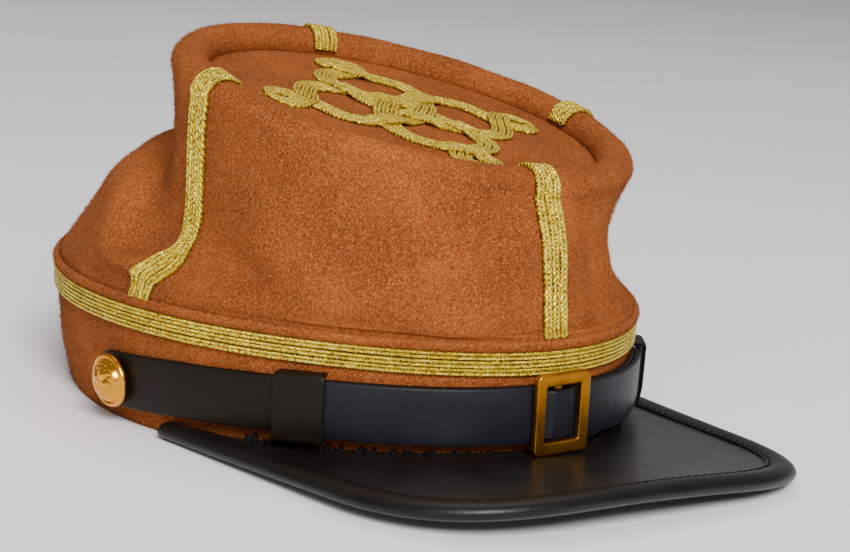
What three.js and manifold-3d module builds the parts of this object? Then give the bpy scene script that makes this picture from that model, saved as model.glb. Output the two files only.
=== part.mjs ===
// An officer's kepi in rust wool: a banded cap whose crown leans forward under a rolled rim,
// with a leather visor, a buckled chin strap and three rows of gold soutache on every seam.
// Millimetres, +Z up. The front is towards -Y and the wearer's left towards +X.
// The origin is at the middle of the bounding box, on the surface that the cap rests on.

import * as THREE from 'three';
import { mergeVertices } from 'three/addons/utils/BufferGeometryUtils.js';
import Module from 'manifold-3d';

const wasm = await Module();
wasm.setup();

// ---------- Driving dimensions ----------

const GAP = 0.35; // clearance between neighbouring pieces
const AROUND = 64; // facets round the head

// The head band is an oval wall, squeezed at its diagonals, that draws in towards its lower edge.
const BAND = { halfWidth: 85, halfLength: 105, squeeze: 0.03, top: 36.4, wall: 2.2 };
const BAND_PROFILE = [
  { height: 0, inset: 5.8 },
  { height: 6, inset: 4 },
  { height: 14, inset: 2 },
  { height: 28, inset: 0.4 },
  { height: BAND.top, inset: 0 },
];
const PIPING = { radius: 1.1, height: 37.8 };

// The crown rises from its seam to a padded rim that leans forward and to the wearer's left.
const CROWN = { seam: 39.4, cloth: 2, sideSteps: 12, rimSteps: 8 };
const RIM = { x: 0.6, y: -26.7, height: 92.7, radius: 67.2, oval: 0.93, roll: 5.5, end: 200 };
const LEAN = { forward: 12.5, sideways: 5 };
const TIP = { below: 0.6, thickness: 2 };

// Sections of the crown's side. Tuck is where the cloth meets the padded rim: 0 is the rim's
// outermost line and -90 its underside. The neck and the shoulder below it are given by how
// far they lie under the rim's middle and outside the straight line from seam to rim.
const SECTIONS = [
  { azimuth: -180, tuck: -10, neckDown: 43, neckOut: -12, shoulderDown: 49, shoulderOut: 3 },
  { azimuth: -166, tuck: 0, neckDown: 43, neckOut: -10, shoulderDown: 49, shoulderOut: 2.5 },
  { azimuth: -148, tuck: 0, neckDown: 36, neckOut: -4, shoulderDown: 46, shoulderOut: 1 },
  { azimuth: -115, tuck: 0, neckDown: 26, neckOut: -1, shoulderDown: 40, shoulderOut: 0 },
  { azimuth: -88, tuck: -10, neckDown: 18, neckOut: 1, shoulderDown: 38, shoulderOut: -2 },
  { azimuth: -65, tuck: -15, neckDown: 20, neckOut: -4, shoulderDown: 32, shoulderOut: -5 },
  { azimuth: -44, tuck: -20, neckDown: 20, neckOut: -10, shoulderDown: 31, shoulderOut: -8 },
  { azimuth: 0, tuck: -40, neckDown: 18, neckOut: -8, shoulderDown: 30, shoulderOut: -3 },
  { azimuth: 45, tuck: -50, neckDown: 24, neckOut: -16, shoulderDown: 32, shoulderOut: -3 },
  { azimuth: 90, tuck: -40, neckDown: 35, neckOut: -25, shoulderDown: 41, shoulderOut: -8 },
  { azimuth: 115, tuck: -30, neckDown: 33, neckOut: -25, shoulderDown: 39, shoulderOut: -8 },
  { azimuth: 136, tuck: -20, neckDown: 25, neckOut: -19, shoulderDown: 31, shoulderOut: -6 },
  { azimuth: 162, tuck: -15, neckDown: 28, neckOut: -15, shoulderDown: 34, shoulderOut: 0 },
];

// Gold soutache: three rows round the band and three over each seam of the crown.
const BRAID = { rows: 3, thickness: 0.9, pitch: 2.85, between: 0.6, lift: 1.1, start: 0.02 };
const BAND_BRAID = { bottom: 29.8, pitch: 2.25, thickness: 1 };
const CROWN_BRAIDS = [
  { name: 'front', route: [{ level: 0, azimuth: -90.2 }, { level: 1, azimuth: -88 }] },
  { name: 'back', route: [{ level: 0, azimuth: 90 }, { level: 1, azimuth: 84 }] },
  { name: 'left', route: [{ level: 0, azimuth: -11 }, { level: 1, azimuth: 1 }] },
  {
    name: 'right',
    route: [
      { level: 0, azimuth: -169.4 },
      { level: 0.25, azimuth: -169.4 },
      { level: 0.5, azimuth: -167.4 },
      { level: 0.75, azimuth: -170.5 },
      { level: 1, azimuth: -179 },
    ],
  },
];

// The knot on the tip: one quarter of its strand, from an eye's end through the middle
// to the end of the next eye. Across is towards the wearer's left, back towards the rear.
const KNOT = { width: 7.6, thickness: 1.1, steps: 30, turn: -4 };
const KNOT_QUARTER = [
  { across: 0, back: 47.3 },
  { across: -4.8, back: 43 },
  { across: -3.6, back: 38.4 },
  { across: 0, back: 34.5 },
  { across: 8, back: 31 },
  { across: 14.4, back: 25.5 },
  { across: 14.6, back: 16 },
  { across: 9, back: 3 },
  { across: 0, back: -7 },
  { across: -12, back: -12.4 },
  { across: -22, back: -14.8 },
  { across: -29, back: -12 },
  { across: -32.4, back: -5 },
  { across: -34.5, back: 0 },
  { across: -38.4, back: 3.6 },
  { across: -43, back: 4.8 },
  { across: -47.3, back: 0 },
];

// The visor: straight sides, rounded corners and a gently bowed front edge.
// It rises towards the front, arches down at its corners and leans to the wearer's left.
const VISOR = {
  endY: -30, cornerX: 71, frontY: -151.5, cornerRadius: 46, bow: 2, thickness: 2.2,
  base: 2.5, rise: 6, droop: 4, lean: 0.03, steps: 40,
};
const BINDING = { radius: 2.2, flange: 7, leather: 0.8 };
// The outside of the binding's section: distance in from the rim, and height over the leather.
const BINDING_ROLL = [
  { inwards: -0.6, up: 1.9 },
  { inwards: -2.1, up: 0.8 },
  { inwards: -2.1, up: -0.8 },
  { inwards: -0.6, up: -1.9 },
];

// The chin strap lies on the band in two layers and drops a little towards its buttons.
// It stands more upright than the band, so its lower edge is further out by `flare`.
const STRAP = { halfWidth: 8.2, thickness: 1.5, lift: 0.5, flare: 1.7, end: 7.5, corner: 4 };
const STRAP_COURSE = [
  { fromFront: 0, height: 19.2 },
  { fromFront: 42, height: 17.8 },
  { fromFront: 57, height: 16.9 },
  { fromFront: 71, height: 15.6 },
  { fromFront: 85, height: 13.4 },
  { fromFront: 95, height: 12 },
];
const BUTTON = { fromFront: 84.4, radius: 7.9, dome: 5, shank: 1.5, lift: 0.6 };
// The button's turned edge: distance inside the outer radius, and height.
const BUTTON_EDGE = [
  { inset: 0.9, up: 0 },
  { inset: 0, up: 0.7 },
  { inset: 0, up: 1.5 },
  { inset: 0.7, up: 2.1 },
  { inset: 1.3, up: 1.7 },
];
const KEEPER = { fromFront: 47, width: 13.7, leather: 1.3, slack: 0.1 };
const BUCKLE = {
  width: 18.2, height: 23.4, windowWidth: 11.8, windowHeight: 16.2, corner: 2,
  thickness: 2, bar: 2.4, post: 1.3, pinch: 1.2, above: 0.6, aside: -0.8,
  tilt: 2, yaw: -3, turn: 3,
};

const MATERIALS = {
  wool: new THREE.MeshStandardMaterial({ color: 0xaf582d, roughness: 0.95, metalness: 0 }),
  gold_braid: new THREE.MeshStandardMaterial({ color: 0xc8aa3c, roughness: 0.45, metalness: 0.6 }),
  leather: new THREE.MeshStandardMaterial({ color: 0x141212, roughness: 0.35, metalness: 0 }),
  brass: new THREE.MeshStandardMaterial({ color: 0xbe8c28, roughness: 0.3, metalness: 1 }),
};

// ---------- Helpers ----------

const radians = THREE.MathUtils.degToRad;

/** Straight interpolation in a table: `column` as a function of `key`. */
function lookUp(table, key, column, at) {
  const after = table.findIndex((row) => row[key] >= at);
  if (after === 0) return table[0][column];
  if (after < 0) return table.at(-1)[column];
  const [low, high] = [table[after - 1], table[after]];
  const share = (at - low[key]) / (high[key] - low[key]);
  return THREE.MathUtils.lerp(low[column], high[column], share);
}

/** Smooth interpolation round the head in a table whose `azimuth` column starts at -180. */
function lookRound(table, column, azimuth) {
  const turn = ((azimuth + 180) % 360 + 360) % 360 - 180;
  const rows = [...table, { ...table[0], azimuth: table[0].azimuth + 360 }];
  const after = Math.max(1, rows.findIndex((row) => row.azimuth >= turn));
  const [low, high] = [rows[after - 1], rows[after]];
  const share = THREE.MathUtils.smoothstep(turn, low.azimuth, high.azimuth);
  return THREE.MathUtils.lerp(low[column], high[column], share);
}

/** Six times the enclosed volume, which is positive where faces point outwards. */
function signedVolume(positions, index) {
  const corner = (k) => new THREE.Vector3().fromArray(positions, 3 * index[k]);
  let sum = 0;
  for (let k = 0; k < index.length; k += 3) {
    sum += corner(k).dot(corner(k + 1).cross(corner(k + 2)));
  }
  return sum;
}

/**
 * A closed wall. The rows go along the piece, and each holds as many `face` points as
 * `back` points, in the same order. A ring joins its last row to its first.
 */
function wall(rows, { ring = false } = {}) {
  const across = rows[0].face.length;
  const corners = 2 * across;
  const points = rows.flatMap(({ face, back }) => [...face, ...[...back].reverse()]);
  const positions = points.flatMap((point) => point.toArray());
  const index = [];
  const joins = ring ? rows.length : rows.length - 1;
  for (let row = 0; row < joins; row += 1) {
    const next = (row + 1) % rows.length;
    for (let corner = 0; corner < corners; corner += 1) {
      const beside = (corner + 1) % corners;
      const [a, b] = [row * corners + corner, row * corners + beside];
      const [c, d] = [next * corners + beside, next * corners + corner];
      index.push(a, b, c, a, c, d);
    }
  }
  if (!ring) {
    for (const row of [0, rows.length - 1]) {
      const start = row * corners;
      for (let step = 0; step < across - 1; step += 1) {
        const quad = [step, step + 1, corners - 2 - step, corners - 1 - step];
        if (row === 0) quad.reverse();
        const [a, b, c, d] = quad.map((corner) => start + corner);
        index.push(a, b, c, a, c, d);
      }
    }
  }
  if (signedVolume(positions, index) < 0) index.reverse();
  const geometry = new THREE.BufferGeometry();
  geometry.setAttribute('position', new THREE.Float32BufferAttribute(positions, 3));
  geometry.setIndex(index);
  return geometry;
}

/** A geometry as a manifold solid. */
function toSolid(geometry) {
  const plain = geometry.clone();
  plain.deleteAttribute('normal');
  plain.deleteAttribute('uv');
  const merged = mergeVertices(plain, 1e-4);
  const mesh = new wasm.Mesh({
    numProp: 3,
    vertProperties: new Float32Array(merged.attributes.position.array),
    triVerts: new Uint32Array(merged.index.array),
  });
  return new wasm.Manifold(mesh);
}

/** A manifold solid as a geometry. */
function fromSolid(solid) {
  const mesh = solid.getMesh();
  const geometry = new THREE.BufferGeometry();
  geometry.setAttribute('position', new THREE.BufferAttribute(mesh.vertProperties, 3));
  geometry.setIndex(new THREE.BufferAttribute(mesh.triVerts, 1));
  return geometry;
}

/** A named mesh in one of the cap's materials. */
function piece(name, geometry, slot) {
  const mesh = new THREE.Mesh(geometry, MATERIALS[slot]);
  mesh.name = name;
  return mesh;
}

/** Evenly spaced azimuths round the head. */
const azimuths = Array.from({ length: AROUND }, (_, k) => -180 + (360 * k) / AROUND);

// ---------- The band ----------

/** Point on the band's oval, `offset` outside its outer face. */
function bandPoint(azimuth, height, offset = 0) {
  const reach = offset - lookUp(BAND_PROFILE, 'height', 'inset', height);
  const angle = radians(azimuth);
  const squeeze = 1 - BAND.squeeze * Math.sin(2 * angle) ** 2;
  const x = (BAND.halfWidth * squeeze + reach) * Math.cos(angle);
  const y = (BAND.halfLength * squeeze + reach) * Math.sin(angle);
  return new THREE.Vector3(x, y, height);
}

/** A ring round the band whose section is a wall between two offsets. */
function bandRing(heights, inner, outer) {
  const rows = azimuths.map((azimuth) => ({
    face: heights.map((height) => bandPoint(azimuth, height, outer)),
    back: heights.map((height) => bandPoint(azimuth, height, inner)),
  }));
  return wall(rows, { ring: true });
}

function makeBand() {
  const heights = BAND_PROFILE.map((row) => row.height);
  return piece('band', bandRing(heights, -BAND.wall, 0), 'wool');
}

/** The welt of wool between the band and the crown. */
function makePiping() {
  const { radius, height } = PIPING;
  const rows = azimuths.map((azimuth) => {
    const centre = bandPoint(azimuth, height);
    const out = bandPoint(azimuth, height, 1).sub(centre).normalize();
    const edge = (degrees) => centre.clone()
      .addScaledVector(out, radius * Math.cos(radians(degrees)))
      .add(new THREE.Vector3(0, 0, radius * Math.sin(radians(degrees))));
    return { face: [-60, 0, 60].map(edge), back: [-120, 180, 120].map(edge) };
  });
  return piece('seam_piping', wall(rows, { ring: true }), 'wool');
}

function makeBandBraid(row) {
  const bottom = BAND_BRAID.bottom + row * BAND_BRAID.pitch;
  const top = bottom + BAND_BRAID.pitch - GAP;
  const geometry = bandRing([bottom, top], GAP, GAP + BAND_BRAID.thickness);
  return piece(`band_braid_${row + 1}`, geometry, 'gold_braid');
}

// ---------- The crown ----------

/** The rim's own frame: across to the wearer's left, back to the rear, and up. */
const rimFrame = (() => {
  const [sideways, forward] = [radians(LEAN.sideways), radians(LEAN.forward)];
  const across = new THREE.Vector3(Math.cos(sideways), 0, -Math.sin(sideways));
  const rear = new THREE.Vector3(0, Math.cos(forward), Math.sin(forward));
  const up = across.clone().cross(rear).normalize();
  const back = up.clone().cross(across).normalize();
  return { across, back, up, centre: new THREE.Vector3(RIM.x, RIM.y, RIM.height) };
})();

/** Point of the padded rim, at an angle from its outermost line over the top. */
function rimPoint(azimuth, angle) {
  const turn = radians(azimuth);
  const { across, back, up, centre } = rimFrame;
  const out = across.clone().multiplyScalar(Math.cos(turn)).addScaledVector(back, Math.sin(turn));
  const middle = centre.clone()
    .addScaledVector(across, RIM.radius * Math.cos(turn))
    .addScaledVector(back, RIM.radius * RIM.oval * Math.sin(turn));
  return middle
    .addScaledVector(out, RIM.roll * Math.cos(radians(angle)))
    .addScaledVector(up, RIM.roll * Math.sin(radians(angle)));
}

/** Corners of the crown's section at an azimuth, from the seam up to the rim. */
function sectionCorners(azimuth) {
  const at = (column) => lookRound(SECTIONS, column, azimuth);
  const seam = bandPoint(azimuth, BAND.top).setZ(CROWN.seam);
  const brim = rimPoint(azimuth, 0);
  const out = new THREE.Vector3(Math.cos(radians(azimuth)), Math.sin(radians(azimuth)), 0);
  const corner = (down, aside) => {
    const share = 1 - down / (brim.z - seam.z);
    return seam.clone().lerp(brim, share).addScaledVector(out, aside);
  };
  const shoulder = corner(at('shoulderDown'), at('shoulderOut'));
  const neck = corner(at('neckDown'), at('neckOut'));
  const top = rimPoint(azimuth, at('tuck'));
  return [seam, seam.clone().lerp(shoulder, 0.6), shoulder, neck, neck.clone().lerp(top, 0.6), top];
}

/** Quadratic spline that starts and ends on its first and last corners. */
function rounded(corners, share) {
  const spans = corners.length - 2;
  const span = Math.min(Math.floor(share * spans), spans - 1);
  const [before, corner, after] = corners.slice(span, span + 3);
  const start = span === 0 ? before : before.clone().lerp(corner, 0.5);
  const end = span === spans - 1 ? after : corner.clone().lerp(after, 0.5);
  return new THREE.QuadraticBezierCurve3(start, corner, end).getPoint(share * spans - span);
}

/** Outer face of the crown: `level` 0 to 1 is the side cloth, 1 to 2 the padded rim. */
function crownPoint(azimuth, level) {
  if (level < 1) return rounded(sectionCorners(azimuth), Math.max(level, 0));
  const tuck = lookRound(SECTIONS, 'tuck', azimuth);
  return rimPoint(azimuth, tuck + (RIM.end - tuck) * (level - 1));
}

/** Place, outward normal and the two directions of the crown's surface at a point. */
function crownFrame(azimuth, level) {
  const small = 0.01;
  const point = crownPoint(azimuth, level);
  const round = crownPoint(azimuth + 1, level).sub(crownPoint(azimuth - 1, level)).divideScalar(2);
  const rise = crownPoint(azimuth, level + small)
    .sub(crownPoint(azimuth, level - small)).divideScalar(2 * small);
  const normal = round.clone().cross(rise).normalize();
  return { point, round, rise, normal };
}

const CROWN_LEVELS = [
  ...Array.from({ length: CROWN.sideSteps }, (_, k) => k / CROWN.sideSteps),
  ...Array.from({ length: CROWN.rimSteps + 1 }, (_, k) => 1 + k / CROWN.rimSteps),
];

function makeCrownSide() {
  const rows = azimuths.map((azimuth) => {
    const frames = CROWN_LEVELS.map((level) => crownFrame(azimuth, level));
    const back = frames.map(({ point, normal }) => point.clone().addScaledVector(normal, -CROWN.cloth));
    back[0].z = CROWN.seam;
    return { face: frames.map(({ point }) => point), back };
  });
  return piece('crown_side', wall(rows, { ring: true }), 'wool');
}

/** One row of braid over a seam of the crown, from the piping to the tip. */
function makeCrownBraid({ name, route }, row) {
  const offset = (row - (BRAID.rows - 1) / 2) * BRAID.pitch;
  const half = (BRAID.pitch - BRAID.between) / 2;
  const azimuthAt = (level) => lookUp(route, 'level', 'azimuth', Math.min(level, 1));
  const levels = CROWN_LEVELS.slice(0, -1).map((level) => Math.max(level, BRAID.start));
  const rows = levels.map((level) => {
    const { round, rise } = crownFrame(azimuthAt(level), level);
    const slope = (azimuthAt(level + 0.02) - azimuthAt(level - 0.02)) / 0.04;
    const along = rise.clone().addScaledVector(round, slope).normalize();
    const perDegree = round.clone().cross(along).length();
    const edge = (reach, lift) => {
      const spot = crownFrame(azimuthAt(level) + reach / perDegree, level);
      return spot.point.addScaledVector(spot.normal, lift);
    };
    return {
      face: [-half, half].map((side) => edge(offset + side, BRAID.lift + BRAID.thickness)),
      back: [-half, half].map((side) => edge(offset + side, BRAID.lift)),
    };
  });
  return piece(`${name}_braid_${row + 1}`, wall(rows), 'gold_braid');
}

/** The flat cloth top, sunk inside the rim. */
function makeTip() {
  const inner = RIM.roll + GAP;
  const outline = new THREE.Shape();
  outline.absellipse(0, 0, RIM.radius - inner, RIM.radius * RIM.oval - inner, 0, 2 * Math.PI);
  const options = { depth: TIP.thickness, bevelEnabled: false, curveSegments: AROUND / 2 };
  const geometry = new THREE.ExtrudeGeometry(outline, options);
  geometry.translate(0, 0, -TIP.below - TIP.thickness);
  return piece('crown_tip', geometry, 'wool');
}

/** The quatrefoil knot: four equal lengths of flat braid joined into one endless strand. */
function makeKnot() {
  const places = KNOT_QUARTER.map(({ across, back }) => new THREE.Vector3(across, back, 0));
  const curve = new THREE.CatmullRomCurve3(places);
  const low = GAP - TIP.below;
  const rows = Array.from({ length: KNOT.steps + 1 }, (_, k) => {
    const share = k / KNOT.steps;
    const centre = curve.getPointAt(share);
    const along = curve.getTangentAt(share);
    if (k === 0) centre.addScaledVector(along, -GAP);
    if (k === KNOT.steps) centre.addScaledVector(along, GAP);
    const aside = new THREE.Vector3(-along.y, along.x, 0).multiplyScalar(KNOT.width / 2);
    const at = (side, height) => centre.clone().addScaledVector(aside, side).setZ(height);
    return {
      face: [at(-1, low + KNOT.thickness), at(1, low + KNOT.thickness)],
      back: [at(-1, low), at(1, low)],
    };
  });
  const quarter = wall(rows);
  let solid = toSolid(quarter);
  for (let turn = 1; turn < 4; turn += 1) {
    solid = solid.add(toSolid(quarter.clone().rotateZ((turn * Math.PI) / 2)));
  }
  const geometry = fromSolid(solid).rotateZ(radians(KNOT.turn));
  return piece('crown_knot', geometry, 'gold_braid');
}

// ---------- The visor ----------

/** Height of the visor's middle layer. */
function visorHeight(x, y) {
  const forward = (y - VISOR.endY) / (VISOR.frontY - VISOR.endY);
  const corner = VISOR.droop * (x / VISOR.cornerX) ** 2 + VISOR.lean * x;
  return VISOR.base + forward * (VISOR.rise - corner);
}

/** The visor's outer line in plan, as a curve from the right end to the left end. */
function visorOutline() {
  const { endY, cornerX, frontY, cornerRadius, bow } = VISOR;
  const end = new THREE.Vector2(-bandEndX() - BINDING.radius - 1.5, endY);
  const corner = new THREE.Vector2(-cornerX, frontY + bow);
  const side = corner.clone().sub(end).normalize();
  const back = Math.tan(Math.acos(side.x) / 2) * cornerRadius;
  const before = corner.clone().addScaledVector(side, -back);
  const front = new THREE.Vector2(0, frontY - bow);
  const after = corner.clone().lerp(front, back / corner.distanceTo(front));
  const path = new THREE.CurvePath();
  path.add(new THREE.LineCurve(end, before));
  path.add(new THREE.QuadraticBezierCurve(before, corner, after));
  path.add(new THREE.QuadraticBezierCurve(after, front, mirror(after)));
  path.add(new THREE.QuadraticBezierCurve(mirror(after), mirror(corner), mirror(before)));
  path.add(new THREE.LineCurve(mirror(before), mirror(end)));
  return path;
}

const mirror = (point) => new THREE.Vector2(-point.x, point.y);

/** Where the visor's ends meet the band. */
function bandEndX() {
  const low = bandPoint(0, VISOR.base).x;
  const deep = -bandPoint(-90, VISOR.base).y;
  return low * Math.sqrt(1 - (VISOR.endY / deep) ** 2);
}

/** Stations along the visor: outer line, its inward direction and the point on the band. */
const visorStations = (() => {
  const path = visorOutline();
  const deep = -bandPoint(-90, VISOR.base).y;
  const firstAzimuth = radians(-180) + Math.asin(-VISOR.endY / deep);
  return Array.from({ length: VISOR.steps + 1 }, (_, k) => {
    const share = k / VISOR.steps;
    const rim = path.getPointAt(share);
    const along = path.getTangentAt(share);
    const inward = new THREE.Vector2(-along.y, along.x);
    const azimuth = THREE.MathUtils.lerp(firstAzimuth, -Math.PI - firstAzimuth, share);
    const height = visorHeight(0, deep * Math.sin(azimuth));
    const root = bandPoint(THREE.MathUtils.radToDeg(azimuth), height, GAP + 0.4);
    return { rim, inward, root };
  });
})();

function makeVisor() {
  const half = VISOR.thickness / 2;
  const rows = visorStations.map(({ rim, inward, root }) => {
    const edge = rim.clone().addScaledVector(inward, BINDING.radius);
    const at = (share, lift) => {
      const x = THREE.MathUtils.lerp(root.x, edge.x, share);
      const y = THREE.MathUtils.lerp(root.y, edge.y, share);
      return new THREE.Vector3(x, y, visorHeight(x, y) + lift);
    };
    return {
      face: [0, 0.35, 0.7, 1].map((share) => at(share, half)),
      back: [0, 0.35, 0.7, 1].map((share) => at(share, -half)),
    };
  });
  return piece('visor', wall(rows), 'leather');
}

/** The leather rolled over the visor's outer edge. */
function makeBinding() {
  const { radius, flange, leather } = BINDING;
  const skin = VISOR.thickness / 2 + GAP;
  const pocket = [1, 0.5, -0.5, -1];
  const section = [
    { face: [flange, skin + leather], back: [flange, skin] },
    { face: [radius, radius], back: [radius, skin] },
    ...BINDING_ROLL.map(({ inwards, up }, k) => (
      { face: [inwards, up], back: [radius - GAP, skin * pocket[k]] }
    )),
    { face: [radius, -radius], back: [radius, -skin] },
    { face: [flange, -skin - leather], back: [flange, -skin] },
  ];
  const rows = visorStations.map(({ rim, inward, root }) => {
    const room = 0.7 * rim.distanceTo(new THREE.Vector2(root.x, root.y));
    const at = ([inwards, lift]) => {
      const spot = rim.clone().addScaledVector(inward, Math.min(inwards, room));
      return new THREE.Vector3(spot.x, spot.y, visorHeight(spot.x, spot.y) + lift);
    };
    return { face: section.map(({ face }) => at(face)), back: section.map(({ back }) => at(back)) };
  });
  return piece('visor_binding', wall(rows), 'leather');
}

// ---------- The chin strap and its fittings ----------

const FRONT = -90;

/** Millimetres along the band for each degree of azimuth. */
function millimetresPerDegree(azimuth) {
  return bandPoint(azimuth - 0.5, STRAP.halfWidth).distanceTo(bandPoint(azimuth + 0.5, STRAP.halfWidth));
}

const strapHeight = (azimuth) => lookUp(STRAP_COURSE, 'fromFront', 'height', Math.abs(azimuth - FRONT));

/** Point over the strap's course, `above` its middle and `lift` off the band. */
function strapPoint(azimuth, above, lift) {
  const flare = STRAP.flare * (0.5 - above / (2 * STRAP.halfWidth));
  return bandPoint(azimuth, strapHeight(azimuth) + above, lift + flare);
}

/** A flat strip on the band between two azimuths, `under` giving its lift off the band. */
function strapStrip(places, under, halfWidthAt) {
  const rows = places.map((azimuth) => {
    const half = halfWidthAt(azimuth);
    const at = (share, lift) => strapPoint(azimuth, share * half, lift);
    return {
      face: [-1, 0, 1].map((share) => at(share, under(azimuth) + STRAP.thickness)),
      back: [-1, 0, 1].map((share) => at(share, under(azimuth))),
    };
  });
  return wall(rows);
}

/** The lower layer runs from button to button and ends in rounded corners. */
function makeStrapInner() {
  const reach = BUTTON.fromFront + STRAP.end / millimetresPerDegree(FRONT - BUTTON.fromFront);
  const steps = 52;
  const places = Array.from({ length: steps + 1 }, (_, k) => FRONT - reach + (2 * reach * k) / steps);
  const { corner } = STRAP;
  const halfWidthAt = (azimuth) => {
    const toEnd = Math.max(reach - Math.abs(azimuth - FRONT), 0) * millimetresPerDegree(azimuth);
    const inside = Math.min(toEnd, corner) / corner;
    return STRAP.halfWidth - corner * (1 - Math.sqrt(1 - (1 - inside) ** 2));
  };
  const strip = toSolid(strapStrip(places, () => STRAP.lift, halfWidthAt));
  const holes = [-1, 1].map((side) => {
    const hole = new THREE.CylinderGeometry(BUTTON.shank + GAP, BUTTON.shank + GAP, 12, 16);
    hole.rotateX(Math.PI / 2);
    hole.applyMatrix4(buttonPlace(side).matrix);
    return toSolid(hole);
  });
  const geometry = fromSolid(strip.subtract(holes[0]).subtract(holes[1]));
  return piece('chin_strap_inner', geometry, 'leather');
}

/** The upper layer lies between the keepers and rises over the buckle's bar. */
function makeStrapOuter() {
  const reach = KEEPER.fromFront;
  const rise = STRAP.thickness + GAP;
  const under = (azimuth) => {
    const aside = Math.abs((azimuth - FRONT) * millimetresPerDegree(FRONT) - BUCKLE.aside);
    const hump = 1 - THREE.MathUtils.smoothstep(aside, BUCKLE.bar * 0.8, BUCKLE.windowWidth / 2 - 0.7);
    return STRAP.lift + STRAP.thickness + GAP + rise * hump;
  };
  const near = [5, 4, 3.2, 2.4, 1.6, 0.8];
  const far = Array.from({ length: 11 }, (_, k) => reach - (k * (reach - 6.4)) / 10);
  const places = [
    ...far.map((angle) => -angle), ...near.map((angle) => -angle), 0,
    ...near.toReversed(), ...far.toReversed(),
  ].map((angle) => FRONT + angle);
  const lying = under(FRONT - reach);
  const pinch = (azimuth) => Math.min(BUCKLE.pinch, 4 * (under(azimuth) - lying));
  const halfWidthAt = (azimuth) => STRAP.halfWidth - pinch(azimuth);
  const geometry = strapStrip(places, under, halfWidthAt);
  return piece('chin_strap_outer', geometry, 'leather');
}

/** A leather loop round both layers of the strap, open towards the band. */
function makeKeeper(name, side) {
  const middle = FRONT + side * KEEPER.fromFront;
  const spread = KEEPER.width / millimetresPerDegree(middle) / 2;
  const inside = STRAP.lift + 2 * STRAP.thickness + 2 * GAP + KEEPER.slack;
  const outside = inside + KEEPER.leather;
  const innerHalf = STRAP.halfWidth + GAP + KEEPER.slack;
  const outerHalf = innerHalf + KEEPER.leather;
  const root = STRAP.lift;
  const outer = [[root, -outerHalf], [outside, -outerHalf], [outside, outerHalf], [root, outerHalf]];
  const inner = [[root, -innerHalf], [inside, -innerHalf], [inside, innerHalf], [root, innerHalf]];
  const rows = [-1, -0.33, 0.33, 1].map((share) => {
    const azimuth = middle + share * spread;
    const at = ([lift, above]) => strapPoint(azimuth, above, lift);
    return { face: outer.map(at), back: inner.map(at) };
  });
  return piece(name, wall(rows), 'leather');
}

/** The brass slide: a frame in front of the strap and a bar behind its upper layer. */
function makeBuckle() {
  const { width, height, windowWidth, windowHeight, corner, thickness, bar, post } = BUCKLE;
  const outline = roundedRectangle(width, height, corner);
  outline.holes.push(roundedRectangle(windowWidth, windowHeight, corner / 3));
  const options = { depth: thickness, bevelEnabled: false, curveSegments: 4 };
  const frame = new THREE.ExtrudeGeometry(outline, options);
  const drop = STRAP.thickness + 2 * GAP;
  const postAt = STRAP.halfWidth + GAP + post / 2;
  const cross = new THREE.BoxGeometry(bar, 2 * postAt, STRAP.thickness);
  cross.translate(0, 0, STRAP.thickness / 2 - drop);
  let solid = toSolid(frame).add(toSolid(cross));
  for (const side of [-1, 1]) {
    const upright = new THREE.BoxGeometry(bar, post, drop + thickness / 2);
    upright.translate(0, side * postAt, thickness / 4 - drop / 2);
    solid = solid.add(toSolid(upright));
  }
  const mesh = piece('buckle', fromSolid(solid), 'brass');
  const layers = STRAP.lift + 2 * STRAP.thickness + 2 * GAP;
  mesh.position.copy(strapPoint(FRONT, 0, layers + 0.3));
  mesh.position.add(new THREE.Vector3(BUCKLE.aside, 0, BUCKLE.above));
  mesh.rotation.set(radians(90 + BUCKLE.tilt), radians(BUCKLE.yaw), radians(BUCKLE.turn));
  return mesh;
}

function roundedRectangle(width, height, radius) {
  const [x, y] = [width / 2, height / 2];
  const shape = new THREE.Shape();
  shape.moveTo(-x + radius, -y);
  shape.absarc(x - radius, -y + radius, radius, -Math.PI / 2, 0);
  shape.absarc(x - radius, y - radius, radius, 0, Math.PI / 2);
  shape.absarc(-x + radius, y - radius, radius, Math.PI / 2, Math.PI);
  shape.absarc(-x + radius, -y + radius, radius, Math.PI, 1.5 * Math.PI);
  return shape;
}

/** A button's place on the strap, its own Z pointing out of the band. */
function buttonPlace(side) {
  const azimuth = FRONT + side * BUTTON.fromFront;
  const place = new THREE.Object3D();
  place.position.copy(strapPoint(azimuth, 0, STRAP.lift + STRAP.thickness + BUTTON.lift));
  const height = strapHeight(azimuth);
  const along = bandPoint(azimuth + 1, height).sub(bandPoint(azimuth - 1, height)).normalize();
  const rise = strapPoint(azimuth, 5, 0).sub(strapPoint(azimuth, -5, 0)).normalize();
  const out = along.clone().cross(rise).normalize();
  const upright = out.clone().cross(along).normalize();
  place.setRotationFromMatrix(new THREE.Matrix4().makeBasis(along, upright, out));
  place.updateMatrix();
  return place;
}

/** A domed brass button with a turned edge and a shank through the strap. */
function makeButton(name, side) {
  const { radius, dome, shank, lift } = BUTTON;
  const depth = STRAP.thickness + lift;
  const foot = BUTTON_EDGE.at(-1);
  const steps = 5;
  const profile = [
    [0, -depth], [shank, -depth], [shank, 0],
    ...BUTTON_EDGE.map(({ inset, up }) => [radius - inset, up]),
  ].map(([out, up]) => new THREE.Vector2(out, up));
  for (let step = 1; step <= steps; step += 1) {
    const angle = (step / steps) * (Math.PI / 2);
    const out = step === steps ? 0 : (radius - foot.inset) * Math.cos(angle);
    profile.push(new THREE.Vector2(out, foot.up + (dome - foot.up) * Math.sin(angle)));
  }
  const geometry = new THREE.LatheGeometry(profile, 24);
  geometry.rotateX(Math.PI / 2);
  const mesh = piece(name, geometry, 'brass');
  const place = buttonPlace(side);
  mesh.position.copy(place.position);
  mesh.quaternion.copy(place.quaternion);
  return mesh;
}

// ---------- The cap ----------

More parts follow.
